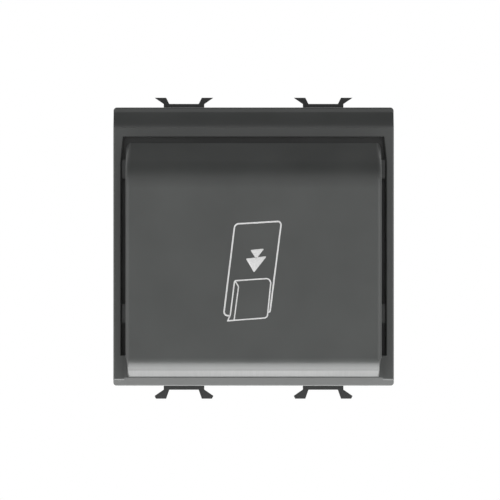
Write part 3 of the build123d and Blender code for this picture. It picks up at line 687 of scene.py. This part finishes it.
# Silver alloy of the contact rivets: headed cold, nearly white with a grey film.
CONTACT_SILVER = WorkedMetal(
    name="contact_silver",
    bright="#E6E4DE",
    dull="#C9C6BE",
    roughness=0.3,
    roughness_drift=0.08,
    streak=(0.15, 0.15, 0.15),
    streak_depth=0.002,
    slot=Slot.CONTACT_SILVER,
)
# Drawn spring wire and strip: grey with lengthwise draw marks.
DRAWN_SPRING_STEEL = WorkedMetal(
    name="drawn_spring_steel",
    bright="#C4C3C0",
    dull="#A3A29F",
    roughness=0.28,
    roughness_drift=0.08,
    streak=(0.1, 0.1, 2.0),
    streak_depth=0.0015,
    slot=Slot.SPRING_STEEL,
)
# Ground steel of the axle: fine grinding marks round it.
GROUND_STEEL = WorkedMetal(
    name="ground_steel",
    bright="#CACAC8",
    dull="#B2B2B0",
    roughness=0.24,
    roughness_drift=0.06,
    streak=(0.06, 1.5, 1.5),
    streak_depth=0.001,
    slot=Slot.PIN_STEEL,
)
# Zinc-plated steel: cool grey with the blue and straw tint of its passivation.
ZINC_PLATED_STEEL = WorkedMetal(
    name="zinc_plated_steel",
    bright="#AEB2B7",
    dull="#A19D90",
    roughness=0.36,
    roughness_drift=0.08,
    streak=(0.3, 0.3, 0.3),
    streak_depth=0.003,
    slot=Slot.ZINC_STEEL,
)
PAD_PRINT = PrintedInk()


class Finisher:
    """Gives pieces their finish and the body that they ride on."""

    def __init__(self) -> None:
        """Starts with no material made."""
        self.made: dict[str, Material] = {}

    def dress(self, piece: Object, finish: Finish) -> None:
        """Gives a piece its material, made once for each finish.

        Args:
            piece: The piece.
            finish: Its finish.
        """
        if finish.name not in self.made:
            self.made[finish.name] = finish.material()
        piece.data.materials.clear()
        piece.data.materials.append(self.made[finish.name])

    def stand_for(self, piece: Object, finish: MouldedPlastic | WorkedMetal, *nodes: str) -> Object:
        """Dresses a piece and lets it stand for CAD nodes of one body.

        Args:
            piece: The piece.
            finish: Its finish.
            nodes: CAD nodes that it stands for.

        Returns:
            The piece.
        """
        self.dress(piece, finish)
        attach(piece, frame["nodes"][nodes[0]]["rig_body"])
        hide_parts(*nodes)
        log.info("%s stands for %s", piece.name, ", ".join(nodes))
        return piece


def eased_copy(node: str, name: str, edge: float) -> Object:
    """Copies a CAD node, merges its triangles into flat faces and eases its sharp edges.

    A moulded or stamped piece never has knife edges, so each edge past the crease angle
    gets a small round, and the normals follow the large faces. The round gets no wider than
    the piece's shortest edges allow, so on a piece with fine details it is much narrower
    than asked.

    Args:
        node: CAD node to copy.
        name: Name of the new piece.
        edge: Greatest width of the eased edge in millimetres.

    Returns:
        The new piece.
    """
    mesh = frame["nodes"][node].data.copy()
    mesh.name = name
    mesh.materials.clear()
    work = bmesh.new()
    work.from_mesh(mesh)
    bmesh.ops.remove_doubles(work, verts=work.verts, dist=WELD)
    bmesh.ops.dissolve_limit(work, angle_limit=FLAT_ANGLE, verts=work.verts, edges=work.edges)
    work.to_mesh(mesh)
    work.free()
    mesh.shade_smooth()
    piece = bpy.data.objects.new(name, mesh)
    bpy.context.scene.collection.objects.link(piece)
    bevel = piece.modifiers.new("eased_edges", "BEVEL")
    bevel.width = edge * MM
    bevel.segments = EDGE_STEPS
    bevel.limit_method = "ANGLE"
    bevel.angle_limit = CREASE_ANGLE
    bevel.harden_normals = False
    weighted = piece.modifiers.new("flat_faces", "WEIGHTED_NORMAL")
    weighted.keep_sharp = True
    return piece


@dataclass(frozen=True)
class PrintedLine:
    """A line of the sign: its width, its corners with their radii, and whether it runs round."""

    width: float
    corners: Corners
    radii: tuple[float, ...]
    closed: bool = False


@dataclass
class Pictogram:
    """The printed sign on the hood: a card that goes down into a pocket, with two arrows.

    Its corners are pairs across and up, in millimetres from the middle of the front.
    """

    face_y: float
    film: float = 0.02
    tip_radius: float = 0.1
    ring_shares: tuple[float, ...] = (1.0, 0.97, 0.5, 0.0)

    card: PrintedLine = PrintedLine(
        0.25,
        ((-3.8, -11.04), (-4.79, -11.02), (-3.0, 3.6), (4.45, 4.05), (2.61, -10.4), (2.35, -10.48)),
        (0.0, 0.62, 0.75, 0.55, 0.2, 0.0),
    )
    pocket: PrintedLine = PrintedLine(
        0.21,
        ((-4.13, -11.85), (2.18, -11.37), (2.82, -5.05), (-3.04, -5.46), (-3.72, -10.91)),
        (0.0, 0.55, 0.75, 0.3, 0.1),
        closed=True,
    )
    fold: PrintedLine = PrintedLine(
        0.19, ((-2.92, -5.59), (-2.4, -6.38), (-3.12, -11.71)), (0.0, 0.5, 0.0)
    )
    small_arrow: Corners = ((-0.52, -0.55), (1.7, -0.33), (0.4, -2.0))
    large_arrow: Corners = ((-1.24, -1.93), (2.1, -1.54), (0.06, -4.14))

    def band(self, line: PrintedLine) -> Patch:
        """Draws a line as a thin flat band carried along its rounded path on the hood's face.

        Args:
            line: The line.

        Returns:
            The band.
        """
        half = line.width / 2
        edge = half - self.film
        profile = np.array([(-half, 0.0), (-edge, -self.film), (edge, -self.film), (half, 0.0)])
        path = rounded_path(np.array(line.corners), line.radii, line.closed)
        side = self.raised(path_sides(path, line.closed), 0.0)
        into = np.tile(Y_AXIS, (len(path), 1))
        return carry(profile, self.raised(path, self.face_y), side, into, line.closed)

    def area(self, corners: Corners) -> Patch:
        """Prints a filled shape: rings that shrink from its outline to its middle.

        Point (i, j) is the middle, plus share i of the way from it to point j of the outline. The
        first two rings, the middle and the outline, lie on the hood and the others on the film.

        Args:
            corners: Corners of the shape.

        Returns:
            The closed film.
        """
        outline = rounded_path(np.array(corners), [self.tip_radius] * len(corners), closed=True)
        middle = outline.mean(axis=0)
        shares = np.array([0.0, *self.ring_shares])
        rings = middle + shares[:, None, None] * (outline - middle)
        lift = np.full(len(shares), -self.film)
        lift[:2] = 0.0
        depth = self.face_y + lift[:, None] + 0 * rings[..., 0]
        points = np.stack([rings[..., 0], depth, rings[..., 1]], axis=-1)
        return grid_patch(points, close_columns=True)

    def raised(self, pairs: Array, depth: float) -> Array:
        """Turns pairs across and up into points or directions at a depth."""
        return np.stack([pairs[:, 0], np.full(len(pairs), depth), pairs[:, 1]], axis=1)

    def build(self, finisher: Finisher) -> None:
        """Prints the sign on the hood.

        Args:
            finisher: Gives the pieces their finish.
        """
        patches = [self.band(line) for line in (self.card, self.pocket, self.fold)]
        patches += [self.area(arrow) for arrow in (self.small_arrow, self.large_arrow)]
        sign = make_piece("card_pictogram", patches)
        finisher.dress(sign, PAD_PRINT)
        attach(sign, frame["nodes"]["card_hood"]["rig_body"])
        log.info("%s printed on the hood", sign.name)


@dataclass
class Front:
    """The moulded front: frame, hood, its two screws and the printed sign.

    The side radius, the under radius and height and the bevel's slope repeat the section of the
    hood's CAD node. The tight share is what is left of the rounding at its bottom corners.
    """

    frame_edge: float = 0.08
    hood_edge: float = 0.08
    screw_edge: float = 0.1
    side_radius: float = 0.8
    under_radius: float = 2.3
    under_height: float = 3.2
    tight_share: float = 0.35
    draw_in: float = 0.3
    tight_turn: float = 15.0
    bevel_slope: float = 0.2754

    def square_corners(self, hood: Object) -> None:
        """Makes the hood's bottom corners square and draws them in to the foot's width.

        Of a point near the edge, u is its depth from the side face and d its depth from the
        section's outline. Both are multiplied by 1 - (1 - tight) e, and u grows by the draw-in
        times e, where e = 3 s^2 - 2 s^3 and s goes from 0 at the start of the underside's arc to
        1 at the tight turn and past it. On the arc, d runs along the arc's radius, and on the
        bevel straight up.

        Args:
            hood: The hood's copy, whose mesh is in metres.
        """
        low, high = corners_of("card_hood")
        points = np.zeros(len(hood.data.vertices) * 3)
        hood.data.vertices.foreach_get("co", points)
        points = points.reshape(-1, 3) / MM
        centre = low[1:] + (self.under_radius, self.under_height)
        back_y = high[1]
        half_width = high[0]
        end_turn = math.pi / 2 - math.atan(self.bevel_slope)
        away = points[:, 1:] - centre
        distance = np.hypot(away[:, 0], away[:, 1])
        turn = np.arctan2(-away[:, 1], -away[:, 0])
        under_z = low[2] + (back_y - points[:, 1]) * self.bevel_slope
        on_arc = turn < end_turn
        bevel_depth = (points[:, 2] - under_z) * math.sin(end_turn)
        depth = np.where(on_arc, self.under_radius - distance, bevel_depth)
        side_depth = half_width - np.abs(points[:, 0])
        reach = self.side_radius + self.hood_edge
        near = (points[:, 2] < centre[1]) & (depth < reach) & (side_depth < reach)
        smooth = np.clip(turn / math.radians(self.tight_turn), 0, 1)
        ease = 3 * smooth**2 - 2 * smooth**3
        share = 1 - (1 - self.tight_share) * ease
        scale = (self.under_radius - depth * share) / np.maximum(distance, SEAM)
        arc_y = centre[0] + away[:, 0] * scale
        arc_z = centre[1] + away[:, 1] * scale
        bevel_z = under_z + (points[:, 2] - under_z) * share
        new_half = half_width - side_depth * share - self.draw_in * ease
        moved = points.copy()
        moved[:, 0] = np.sign(points[:, 0]) * new_half
        moved[:, 1] = np.where(on_arc, arc_y, points[:, 1])
        moved[:, 2] = np.where(on_arc, arc_z, bevel_z)
        points[near] = moved[near]
        hood.data.vertices.foreach_set("co", (points * MM).ravel())
        log.info("%d points of %s drawn in at its underside", int(near.sum()), hood.name)

    def build(self, finisher: Finisher) -> None:
        """Builds the front's pieces.

        Args:
            finisher: Gives the pieces their finish.
        """
        front = eased_copy("front_frame", "moulded_frame", self.frame_edge)
        finisher.stand_for(front, SATIN_POLYCARBONATE, "front_frame")
        hood = eased_copy("card_hood", "moulded_hood", self.hood_edge)
        self.square_corners(hood)
        finisher.stand_for(hood, SATIN_POLYCARBONATE, "card_hood")
        screws = eased_copy("hood_screws", "hood_fixing_screws", self.screw_edge)
        finisher.stand_for(screws, ZINC_PLATED_STEEL, "hood_screws")
        Pictogram(float(corners_of("card_hood")[0][1])).build(finisher)


@dataclass
class CardSlide:
    """What the card moves: the pusher, its carriage, the return spring and the two card leaves."""

    pusher_edge: float = 0.2
    carriage_edge: float = 0.12
    wire_radius: float = 0.2
    coil_radius: float = 1.65
    turns: int = 7
    closed_turns: float = 0.9
    closed_rise: float = 1.1
    ring_steps: int = 14
    turn_steps: int = 36
    leaf_thickness: float = 0.3
    leaf_edge: float = 0.08
    leaf_radius: float = 1.2
    leaf_reach: float = 4.5
    leaf_foot: float = 2.0
    leaf_step: float = 6.0

    def spring(self) -> Patch:
        """Winds the return spring.

        The centre line is a circle's point carried up: the closed turns at both ends rise by little
        more than the wire's own thickness, and the free turns share the rest of the height evenly.
        A mean over a third of a turn softens the change.

        Returns:
            The wire's surface.
        """
        low, high = corners_of("return_spring")
        bottom, top = low[2] + self.wire_radius, high[2] - self.wire_radius
        centre = (low + high) / 2
        turn = np.linspace(0, self.turns, self.turns * self.turn_steps + 1)
        shut = 2 * self.wire_radius * self.closed_rise * self.closed_turns
        knots = (0, self.closed_turns, self.turns - self.closed_turns, self.turns)
        rise = np.interp(turn, knots, (bottom, bottom + shut, top - shut, top))
        window = self.turn_steps // 3
        padded = np.pad(rise, window // 2, mode="edge")
        mean = np.convolve(padded, np.ones(window) / window, mode="same")
        height = mean[window // 2 : -(window // 2)]
        angle = 2 * math.pi * turn
        spoke = np.stack([np.cos(angle), np.sin(angle), np.zeros_like(angle)], axis=1)
        path = np.stack([centre[0] + 0 * turn, centre[1] + 0 * turn, height], axis=1)
        path += self.coil_radius * spoke
        along = np.gradient(path, axis=0)
        along /= np.linalg.norm(along, axis=1, keepdims=True)
        around = np.arange(self.ring_steps) * 2 * math.pi / self.ring_steps
        ring = self.wire_radius * np.stack([np.cos(around), np.sin(around)], axis=1)
        return carry(ring, path, spoke, np.cross(along, spoke))

    def leaf(self, node: str) -> Patch:
        """Bends a card leaf: a rounded strip carried along the bowed line of its CAD node.

        Args:
            node: The leaf's CAD node.

        Returns:
            The leaf's surface.
        """
        low, high = corners_of(node)
        half = self.leaf_thickness / 2
        deep = high[1]
        seat = low[1] + half + self.leaf_reach
        bottom = low[2] + half
        top = high[2] - self.leaf_foot
        third = (top - bottom) / 3
        corners = np.array(
            [
                (deep, bottom),
                (seat, bottom),
                (seat - self.leaf_reach, bottom + third),
                (seat - self.leaf_reach, top - third),
                (seat, top),
                (seat, high[2]),
            ]
        )
        radii = [0] + [self.leaf_radius] * (len(corners) - 2) + [0]
        line = rounded_path(corners, radii, step=self.leaf_step)
        across = path_sides(line, closed=False)
        middle = (low[0] + high[0]) / 2
        path = np.stack([np.full(len(line), middle), line[:, 0], line[:, 1]], axis=1)
        up = np.stack([np.zeros(len(line)), across[:, 0], across[:, 1]], axis=1)
        section = rounded_rectangle((high[0] - low[0]) / 2, half, self.leaf_edge)
        return carry(section, path, np.tile(X_AXIS, (len(line), 1)), up)

    def build(self, finisher: Finisher) -> None:
        """Builds the sliding pieces and the springs.

        Args:
            finisher: Gives the pieces their finish.
        """
        pusher = eased_copy("card_pusher", "card_tongue", self.pusher_edge)
        finisher.stand_for(pusher, DARK_ACETAL, "card_pusher")
        carriage = eased_copy("slider_carriage", "carriage", self.carriage_edge)
        finisher.stand_for(carriage, DARK_ACETAL, "slider_carriage")
        spring = make_piece("carriage_spring", [self.spring()])
        finisher.stand_for(spring, DRAWN_SPRING_STEEL, "return_spring")
        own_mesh(spring)
        for side in ("left", "right"):
            leaf = make_piece(f"card_leaf_{side}", [self.leaf(f"grip_spring_{side}")])
            finisher.stand_for(leaf, DRAWN_SPRING_STEEL, f"grip_spring_{side}")


@dataclass
class Contacts:
    """The change-over switch: rocker, axle, brass pieces and silver rivets."""

    rocker_edge: float = 0.15
    brass_edge: float = 0.08
    rivet_radius: float = 1.2
    rivet_head: float = 0.6
    rivet_shank: float = 0.6
    rivet_dome: float = 0.14
    rivet_edge: float = 0.12
    blade_half: float = 0.3
    strip_thickness: float = 0.7
    pin_chamfer: float = 0.2
    sides: int = 36
    rim_points: int = 5
    dome_points: int = 7

    def head(self, seat: float, facing: int) -> Array:
        """Gives a rivet head's half section: a rounded rim and a shallow dome, seat to pole.

        The rim is a quarter circle, and the dome falls from the pole by its height times the
        square of the share of its radius.

        Args:
            seat: Height of the head's seat.
            facing: 1 for a head that faces up, -1 for one that faces down.

        Returns:
            Pairs of radius and height.
        """
        swept = np.linspace(0, math.pi / 2, self.rim_points)
        rim_radius = self.rivet_radius - self.rivet_edge * (1 - np.cos(swept))
        rim_height = self.rivet_head - self.rivet_dome - self.rivet_edge * (1 - np.sin(swept))
        share = np.linspace(1, 0, self.dome_points)[1:]
        crown = (self.rivet_radius - self.rivet_edge) * share
        dome = self.rivet_head - self.rivet_dome * share**2
        radius = np.concatenate([[self.rivet_radius], rim_radius, crown])
        height = np.concatenate([[0.0], rim_height, dome])
        return np.stack([radius, seat + facing * height], axis=1)

    def double_rivet(self) -> Patch:
        """Turns the moving rivet about its tilted axis: a domed head on each side of the blade.

        Its axis is square to the axle and to the arm from the axle to the rivet. The discs lean
        about 12 degrees from square to that axis, for the reason that revolve gives.

        Returns:
            The rivet's surface.
        """
        low, high = corners_of("moving_rivet")
        pin_low, pin_high = corners_of("rocker_pin")
        centre = (low + high) / 2
        arm = centre - (pin_low + pin_high) / 2
        arm[0] = 0
        arm /= np.linalg.norm(arm)
        axis = np.cross(X_AXIS, arm)
        lower = self.head(-self.blade_half, -1)[::-1]
        upper = self.head(self.blade_half, 1)
        waist = np.array([(self.rivet_shank, end) for end in (-self.blade_half, self.blade_half)])
        return revolve(np.concatenate([lower, waist, upper]), centre, axis, self.sides)

    def fixed_rivet(self, facing: int) -> Patch:
        """Turns a fixed rivet: its dome faces the moving one, its shank fills the strip's hole.

        Args:
            facing: 1 for the lower rivet, whose dome faces up, and -1 for the upper one.

        Returns:
            The rivet's surface.
        """
        low, high = corners_of("fixed_rivets")
        thickness = self.strip_thickness
        seat = high[2] - thickness if facing < 0 else low[2] + thickness
        tail = seat - facing * thickness
        shank = np.array([(0.0, tail), (self.rivet_shank, tail), (self.rivet_shank, seat)])
        centre = np.array([(low[0] + high[0]) / 2, (low[1] + high[1]) / 2, 0.0])
        return revolve(np.concatenate([shank, self.head(seat, facing)]), centre, Z_AXIS, self.sides)

    def pin(self) -> Patch:
        """Turns the axle: a cylinder's half section with a chamfer at both ends.

        Returns:
            The axle's surface.
        """
        low, high = corners_of("rocker_pin")
        radius, half = (high[2] - low[2]) / 2, (high[0] - low[0]) / 2
        inner, short = radius - self.pin_chamfer, half - self.pin_chamfer
        start = np.array([(0, -half), (inner, -half), (radius, -short)])
        end = start[::-1] * (1, -1)
        return revolve(np.concatenate([start, end]), (low + high) / 2, X_AXIS, self.sides)

    def build(self, finisher: Finisher) -> None:
        """Builds the switch.

        Args:
            finisher: Gives the pieces their finish.
        """
        rocker = eased_copy("contact_rocker", "fork_rocker", self.rocker_edge)
        finisher.stand_for(rocker, NATURAL_POLYESTER, "contact_rocker")
        for node, name in (
            ("moving_contact", "contact_blade"),
            ("common_bracket", "axle_bracket"),
            ("contact_strip_nc", "lower_contact_strip"),
            ("contact_strip_no", "upper_contact_strip"),
        ):
            finisher.stand_for(eased_copy(node, name, self.brass_edge), ROLLED_BRASS, node)
        moving = make_piece("double_contact_rivet", [self.double_rivet()])
        finisher.stand_for(moving, CONTACT_SILVER, "moving_rivet")
        fixed = make_piece("fixed_contact_rivets", [self.fixed_rivet(-1), self.fixed_rivet(1)])
        finisher.stand_for(fixed, CONTACT_SILVER, "fixed_rivets")
        axle = make_piece("rocker_axle", [self.pin()])
        finisher.stand_for(axle, GROUND_STEEL, "rocker_pin")


@dataclass
class Terminals:
    """Three rising clamps with their screws, and the numbers beside them."""

    cage_edge: float = 0.15
    head_height: float = 1.6
    head_edge: float = 0.3
    slot_width: float = 0.7
    slot_depth: float = 0.8
    shank_radius: float = 1.45
    thread_pitch: float = 0.5
    thread_depth: float = 0.22
    tip_chamfer: float = 0.4
    seat_sink: float = 0.2
    thread_rows: int = 8
    sides: int = 40
    head_steps: int = 12
    floor_columns: int = 3
    number_height: float = 2.2
    number_lift: float = 0.2
    number_edge: float = 0.05
    number_drop: float = 5.9

    def head(self, centre: Array, radius: float) -> list[Patch]:
        """Makes a slotted cheese head that faces +Y.

        The top is a grid of chords along the slot: across = R sin a, up = chord sin b, with the
        columns at the slot's edges doubled for its walls. The height falls along a quarter circle
        near the rim, and the side wall drops from the rim to the seat.

        Args:
            centre: Middle of the head's seat.
            radius: The head's radius R.

        Returns:
            The top, the seat and the two halves of the side wall.
        """
        half_slot = self.slot_width / 2
        angle = np.linspace(math.asin(half_slot / radius), math.pi / 2, self.head_steps)
        outer = radius * np.sin(angle)
        floor = np.linspace(-half_slot, half_slot, self.floor_columns)
        across = np.concatenate([-outer[::-1], floor, outer])
        sunk = np.concatenate([np.zeros(len(outer)), np.ones(len(floor)), np.zeros(len(outer))])
        chord = np.sqrt(np.clip(radius**2 - across**2, 0, None))
        share = np.sin(np.linspace(-math.pi / 2, math.pi / 2, 2 * self.head_steps + 1))
        x = across[:, None] + 0 * share
        z = chord[:, None] * share
        near_rim = np.clip((np.hypot(x, z) - radius + self.head_edge) / self.head_edge, 0, 1)
        crown = self.head_height - self.head_edge * (1 - np.sqrt(1 - near_rim**2))
        y = np.where(sunk[:, None] > 0, self.head_height - self.slot_depth, crown)
        top = centre + np.stack([x, y, z], axis=-1)
        seat = centre + np.stack([x, 0 * y, z], axis=-1)
        walls = [np.stack([top[:, end], seat[:, end]]) for end in (0, -1)]
        return [grid_patch(top), grid_patch(seat)] + [grid_patch(wall) for wall in walls]

    def shank(self, centre: Array, length: float) -> Patch:
        """Turns the threaded shank.

        The radius drops from the crest by a triangle wave of height / pitch - angle / full turn,
        which is a helical thread, and the thread fades out at the tip's chamfer.

        Args:
            centre: Middle of the head's seat.
            length: The shank's length, from a little inside the head to its tip.

        Returns:
            The shank's surface.
        """
        rows = math.ceil(length / self.thread_pitch * self.thread_rows)
        height = np.linspace(0, -length, rows + 1)
        chamfer = self.shank_radius - self.tip_chamfer + (height + length)
        radius = np.minimum(self.shank_radius, chamfer)
        angle = np.arange(self.sides) / self.sides
        phase = (height[:, None] / self.thread_pitch - angle) % 1
        fade = np.clip((height + length) / self.tip_chamfer, 0, 1)[:, None]
        wave = -self.thread_depth * np.abs(2 * phase - 1) * fade
        ends = np.zeros((1, self.sides))
        poles = [[(0.0, self.seat_sink)], [(0.0, self.seat_sink - length)]]
        side = np.stack([radius, height + self.seat_sink], axis=1)
        profile = np.concatenate([poles[0], side, poles[1]])
        return revolve(profile, centre, Y_AXIS, self.sides, np.concatenate([ends, wave, ends]))

    def number(self, text: str, x: float, back: float) -> Object:
        """Raises a number on the block's back face, to be read from behind.

        Args:
            text: The number.
            x: Its place across.
            back: Where the block's back face lies along Y.

        Returns:
            The number as a mesh.
        """
        curve = bpy.data.curves.new(f"number_{text}", "FONT")
        curve.body = text
        curve.size = self.number_height * MM
        curve.align_x = "CENTER"
        curve.align_y = "CENTER"
        curve.extrude = self.number_lift * MM
        curve.bevel_depth = self.number_edge * MM
        written = bpy.data.objects.new(curve.name, curve)
        mesh = bpy.data.meshes.new_from_object(written)
        bpy.data.objects.remove(written)
        flat = np.zeros(len(mesh.vertices) * 3)
        mesh.vertices.foreach_get("co", flat)
        flat = flat.reshape(-1, 3)
        placed = np.stack([x * MM - flat[:, 0], back * MM + flat[:, 2], flat[:, 1]], axis=1)
        placed[:, 2] -= self.number_drop * MM
        mesh.vertices.foreach_set("co", placed.ravel())
        finish_mesh(mesh)
        raised = bpy.data.objects.new(f"terminal_number_{text}", mesh)
        bpy.context.scene.collection.objects.link(raised)
        return raised

    def build(self, finisher: Finisher) -> None:
        """Builds the clamps, screws and numbers.

        Args:
            finisher: Gives the pieces their finish.
        """
        back = float(corners_of("terminal_block")[1][1])
        for text, terminal in (("1", "no"), ("2", "common"), ("3", "nc")):
            cage = eased_copy(f"terminal_cage_{terminal}", f"clamp_cage_{terminal}", self.cage_edge)
            finisher.stand_for(cage, ZINC_PLATED_STEEL, f"terminal_cage_{terminal}")
            low, high = corners_of(f"terminal_screw_{terminal}")
            centre = (low + high) / 2
            centre[1] = high[1] - self.head_height
            length = centre[1] - low[1]
            patches = self.head(centre, (high[0] - low[0]) / 2)
            patches.append(self.shank(centre, length + self.seat_sink))
            screw = make_piece(f"clamp_screw_{terminal}", patches)
            finisher.stand_for(screw, ZINC_PLATED_STEEL, f"terminal_screw_{terminal}")
            number = self.number(text, float(centre[0]), back)
            finisher.dress(number, GLASS_FILLED_POLYAMIDE)
            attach(number, frame["nodes"]["terminal_block"]["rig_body"])
            log.info("%s raised on the block", number.name)


@dataclass
class Box:
    """The box behind the frame: housing, terminal block and the two release claws."""

    housing_edge: float = 0.15
    block_edge: float = 0.2
    claw_edge: float = 0.1

    def build(self, finisher: Finisher) -> None:
        """Builds the box's mouldings.

        Args:
            finisher: Gives the pieces their finish.
        """
        for node, name, edge in (
            ("mechanism_housing", "moulded_housing", self.housing_edge),
            ("terminal_block", "moulded_terminal_block", self.block_edge),
            ("release_claw_left", "sprung_claw_left", self.claw_edge),
            ("release_claw_right", "sprung_claw_right", self.claw_edge),
        ):
            finisher.stand_for(eased_copy(node, name, edge), GLASS_FILLED_POLYAMIDE, node)


@dataclass(frozen=True)
class Lamp:
    """A soft box: its place, target and size in metres, and how bright it looks (1 is white)."""

    name: str
    place: tuple[float, float, float]
    target: tuple[float, float, float]
    width: float
    height: float
    level: float

    def build(self) -> None:
        """Hangs the soft box, which the camera doesn't see."""
        data = bpy.data.lights.new(self.name, "AREA")
        data.shape = "RECTANGLE"
        data.size, data.size_y = self.width, self.height
        data.energy = self.level * math.pi * self.width * self.height
        lamp = bpy.data.objects.new(self.name, data)
        lamp.location = self.place
        way = Vector(self.target) - Vector(self.place)
        lamp.rotation_euler = way.to_track_quat("-Z", "Y").to_euler()
        lamp.visible_camera = False
        bpy.context.scene.collection.objects.link(lamp)


@dataclass
class Studio:
    """Camera, soft boxes, pale floor and white surroundings. Lengths are in metres here.

    The field is the width that the view shows, and looking right and up moves it until the
    switch lies where the photograph has it.
    """

    distance: float = 1.5
    field: float = 0.0801
    sensor: float = 36.0
    far_end: float = 100.0
    look_right: float = -0.000577
    look_up: float = -0.00056
    floor_drop: float = 0.4
    lamp_lift: float = 0.01
    floor_size: float = 12.0
    floor_white: float = 0.88
    floor_colour: str = "#F2F2F0"
    ambient: float = 0.35
    horizon: float = 0.5
    horizon_end: float = 0.1
    zenith: float = 0.3

    def camera(self) -> None:
        """Sets the camera straight in front, far away, as the photograph shows no perspective."""
        data = bpy.data.cameras.new("camera")
        data.sensor_width = self.sensor
        data.lens = self.sensor * self.distance / self.field
        data.clip_end = self.far_end
        camera = bpy.data.objects.new("camera", data)
        face = float(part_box("front_frame")[0].y)
        camera.location = (self.look_right, face - self.distance, self.look_up)
        camera.rotation_euler = (math.pi / 2, 0.0, 0.0)
        bpy.context.scene.collection.objects.link(camera)
        bpy.context.scene.camera = camera

    def lamps(self) -> None:
        """Hangs the soft boxes: a weak one in front and a strong one below for the underside."""
        low = float(cad_box[0].z) - self.floor_drop + self.lamp_lift
        for lamp in (
            Lamp("front_box", (0.0, -1.2, 0.55), (0.0, 0.0, 0.55), 3.2, 1.3, 0.47),
            Lamp("left_box", (-1.3, -0.5, 0.1), (0.0, 0.0, 0.0), 1.2, 1.2, 0.85),
            Lamp("right_box", (1.3, -0.6, 0.1), (0.0, 0.0, 0.0), 1.2, 1.2, 1.0),
            Lamp("low_box", (0.0, -0.1, low), (0.0, -0.1, 1.0), 1.0, 0.52, 4.5),
            Lamp("low_back_box", (0.0, 0.72, low), (0.0, 0.72, 1.0), 1.4, 1.12, 1.35),
            Lamp("back_box", (0.0, 1.0, 0.75), (0.0, 0.0, 0.0), 1.8, 0.9, 0.9),
        ):
            lamp.build()

    def sees_white(self, tree: NodeTree) -> NodeSocket:
        """Gives 1 for camera, glossy and transmission rays, and 0 for the others.

        Args:
            tree: Node tree that gets the nodes.

        Returns:
            The value.
        """
        path = add_node(tree, "ShaderNodeLightPath", {})
        rays = ("Is Camera Ray", "Is Glossy Ray", "Is Transmission Ray")
        total = path.outputs[rays[0]]
        for ray in rays[1:]:
            both: Inputs = {0: total, 1: path.outputs[ray]}
            total = add_node(tree, "ShaderNodeMath", both, operation="MAXIMUM").outputs[0]
        return total

    def surroundings(self) -> None:
        """Makes the world: white to the camera, bright at the horizon and dim overhead to gloss."""
        world = bpy.data.worlds.new("studio")
        bpy.context.scene.world = world
        world.use_nodes = True
        tree = world.node_tree
        tree.nodes.clear()
        path = add_node(tree, "ShaderNodeLightPath", {})
        place = add_node(tree, "ShaderNodeTexCoord", {})
        split = add_node(tree, "ShaderNodeSeparateXYZ", {0: place.outputs["Generated"]})
        dome: Inputs = {
            "Value": split.outputs[2],
            "From Min": self.horizon_end,
            "From Max": 1.0,
            "To Min": self.horizon,
            "To Max": self.zenith,
        }
        gloss = add_node(tree, "ShaderNodeMapRange", dome)
        first: Inputs = {
            0: path.outputs["Is Glossy Ray"],
            NUMBER_A: self.ambient,
            NUMBER_B: gloss.outputs["Result"],
        }
        lit = add_node(tree, "ShaderNodeMix", first)
        rays: Inputs = {0: path.outputs["Is Camera Ray"], 1: path.outputs["Is Transmission Ray"]}
        seen = add_node(tree, "ShaderNodeMath", rays, operation="MAXIMUM")
        second: Inputs = {0: seen.outputs[0], NUMBER_A: lit.outputs[0], NUMBER_B: 1.0}
        level = add_node(tree, "ShaderNodeMix", second)
        light = add_node(tree, "ShaderNodeBackground", {"Strength": level.outputs[0]})
        light.inputs["Color"].default_value = linear(WHITE)
        add_node(tree, "ShaderNodeOutputWorld", {"Surface": light.outputs[0]})

    def floor(self) -> None:
        """Lays the pale floor: nearly white from above with a faint shadow, clear from below."""
        half = self.floor_size / 2
        height = float(cad_box[0].z) - self.floor_drop
        corners = np.array([(-half, -half), (half, -half), (half, half), (-half, half)])
        mesh = bpy.data.meshes.new("floor")
        mesh.from_pydata([(x, y, height) for x, y in corners], [], [(0, 1, 2, 3)])
        floor = bpy.data.objects.new("floor", mesh)
        bpy.context.scene.collection.objects.link(floor)
        material, tree = new_tree("pale_floor")
        matt = add_node(tree, "ShaderNodeBsdfDiffuse", {"Color": linear(self.floor_colour)})
        glow = add_node(tree, "ShaderNodeEmission", {"Color": linear(WHITE), "Strength": 1.0})
        rays: Inputs = {0: self.sees_white(tree), 1: self.floor_white}
        share = add_node(tree, "ShaderNodeMath", rays, operation="MULTIPLY")
        mixed: Inputs = {0: share.outputs[0], 1: matt.outputs[0], 2: glow.outputs[0]}
        upper = add_node(tree, "ShaderNodeMixShader", mixed)
        side = add_node(tree, "ShaderNodeNewGeometry", {})
        clear = add_node(tree, "ShaderNodeBsdfTransparent", {})
        sides: Inputs = {0: side.outputs["Backfacing"], 1: upper.outputs[0], 2: clear.outputs[0]}
        shader = add_node(tree, "ShaderNodeMixShader", sides)
        add_node(tree, "ShaderNodeOutputMaterial", {"Surface": shader.outputs[0]})
        mesh.materials.append(material)

    def build(self) -> None:
        """Sets up the studio."""
        self.camera()
        self.lamps()
        self.surroundings()
        self.floor()
        bpy.context.scene.view_settings.view_transform = "Standard"


def main() -> None:
    """Builds the studio and every piece of the switch."""
    logging.basicConfig(level=logging.INFO, format="%(name)s: %(message)s")
    Studio().build()
    finisher = Finisher()
    for assembly in (Front(), CardSlide(), Contacts(), Terminals(), Box()):
        assembly.build(finisher)


if __name__ == "__main__":
    main()
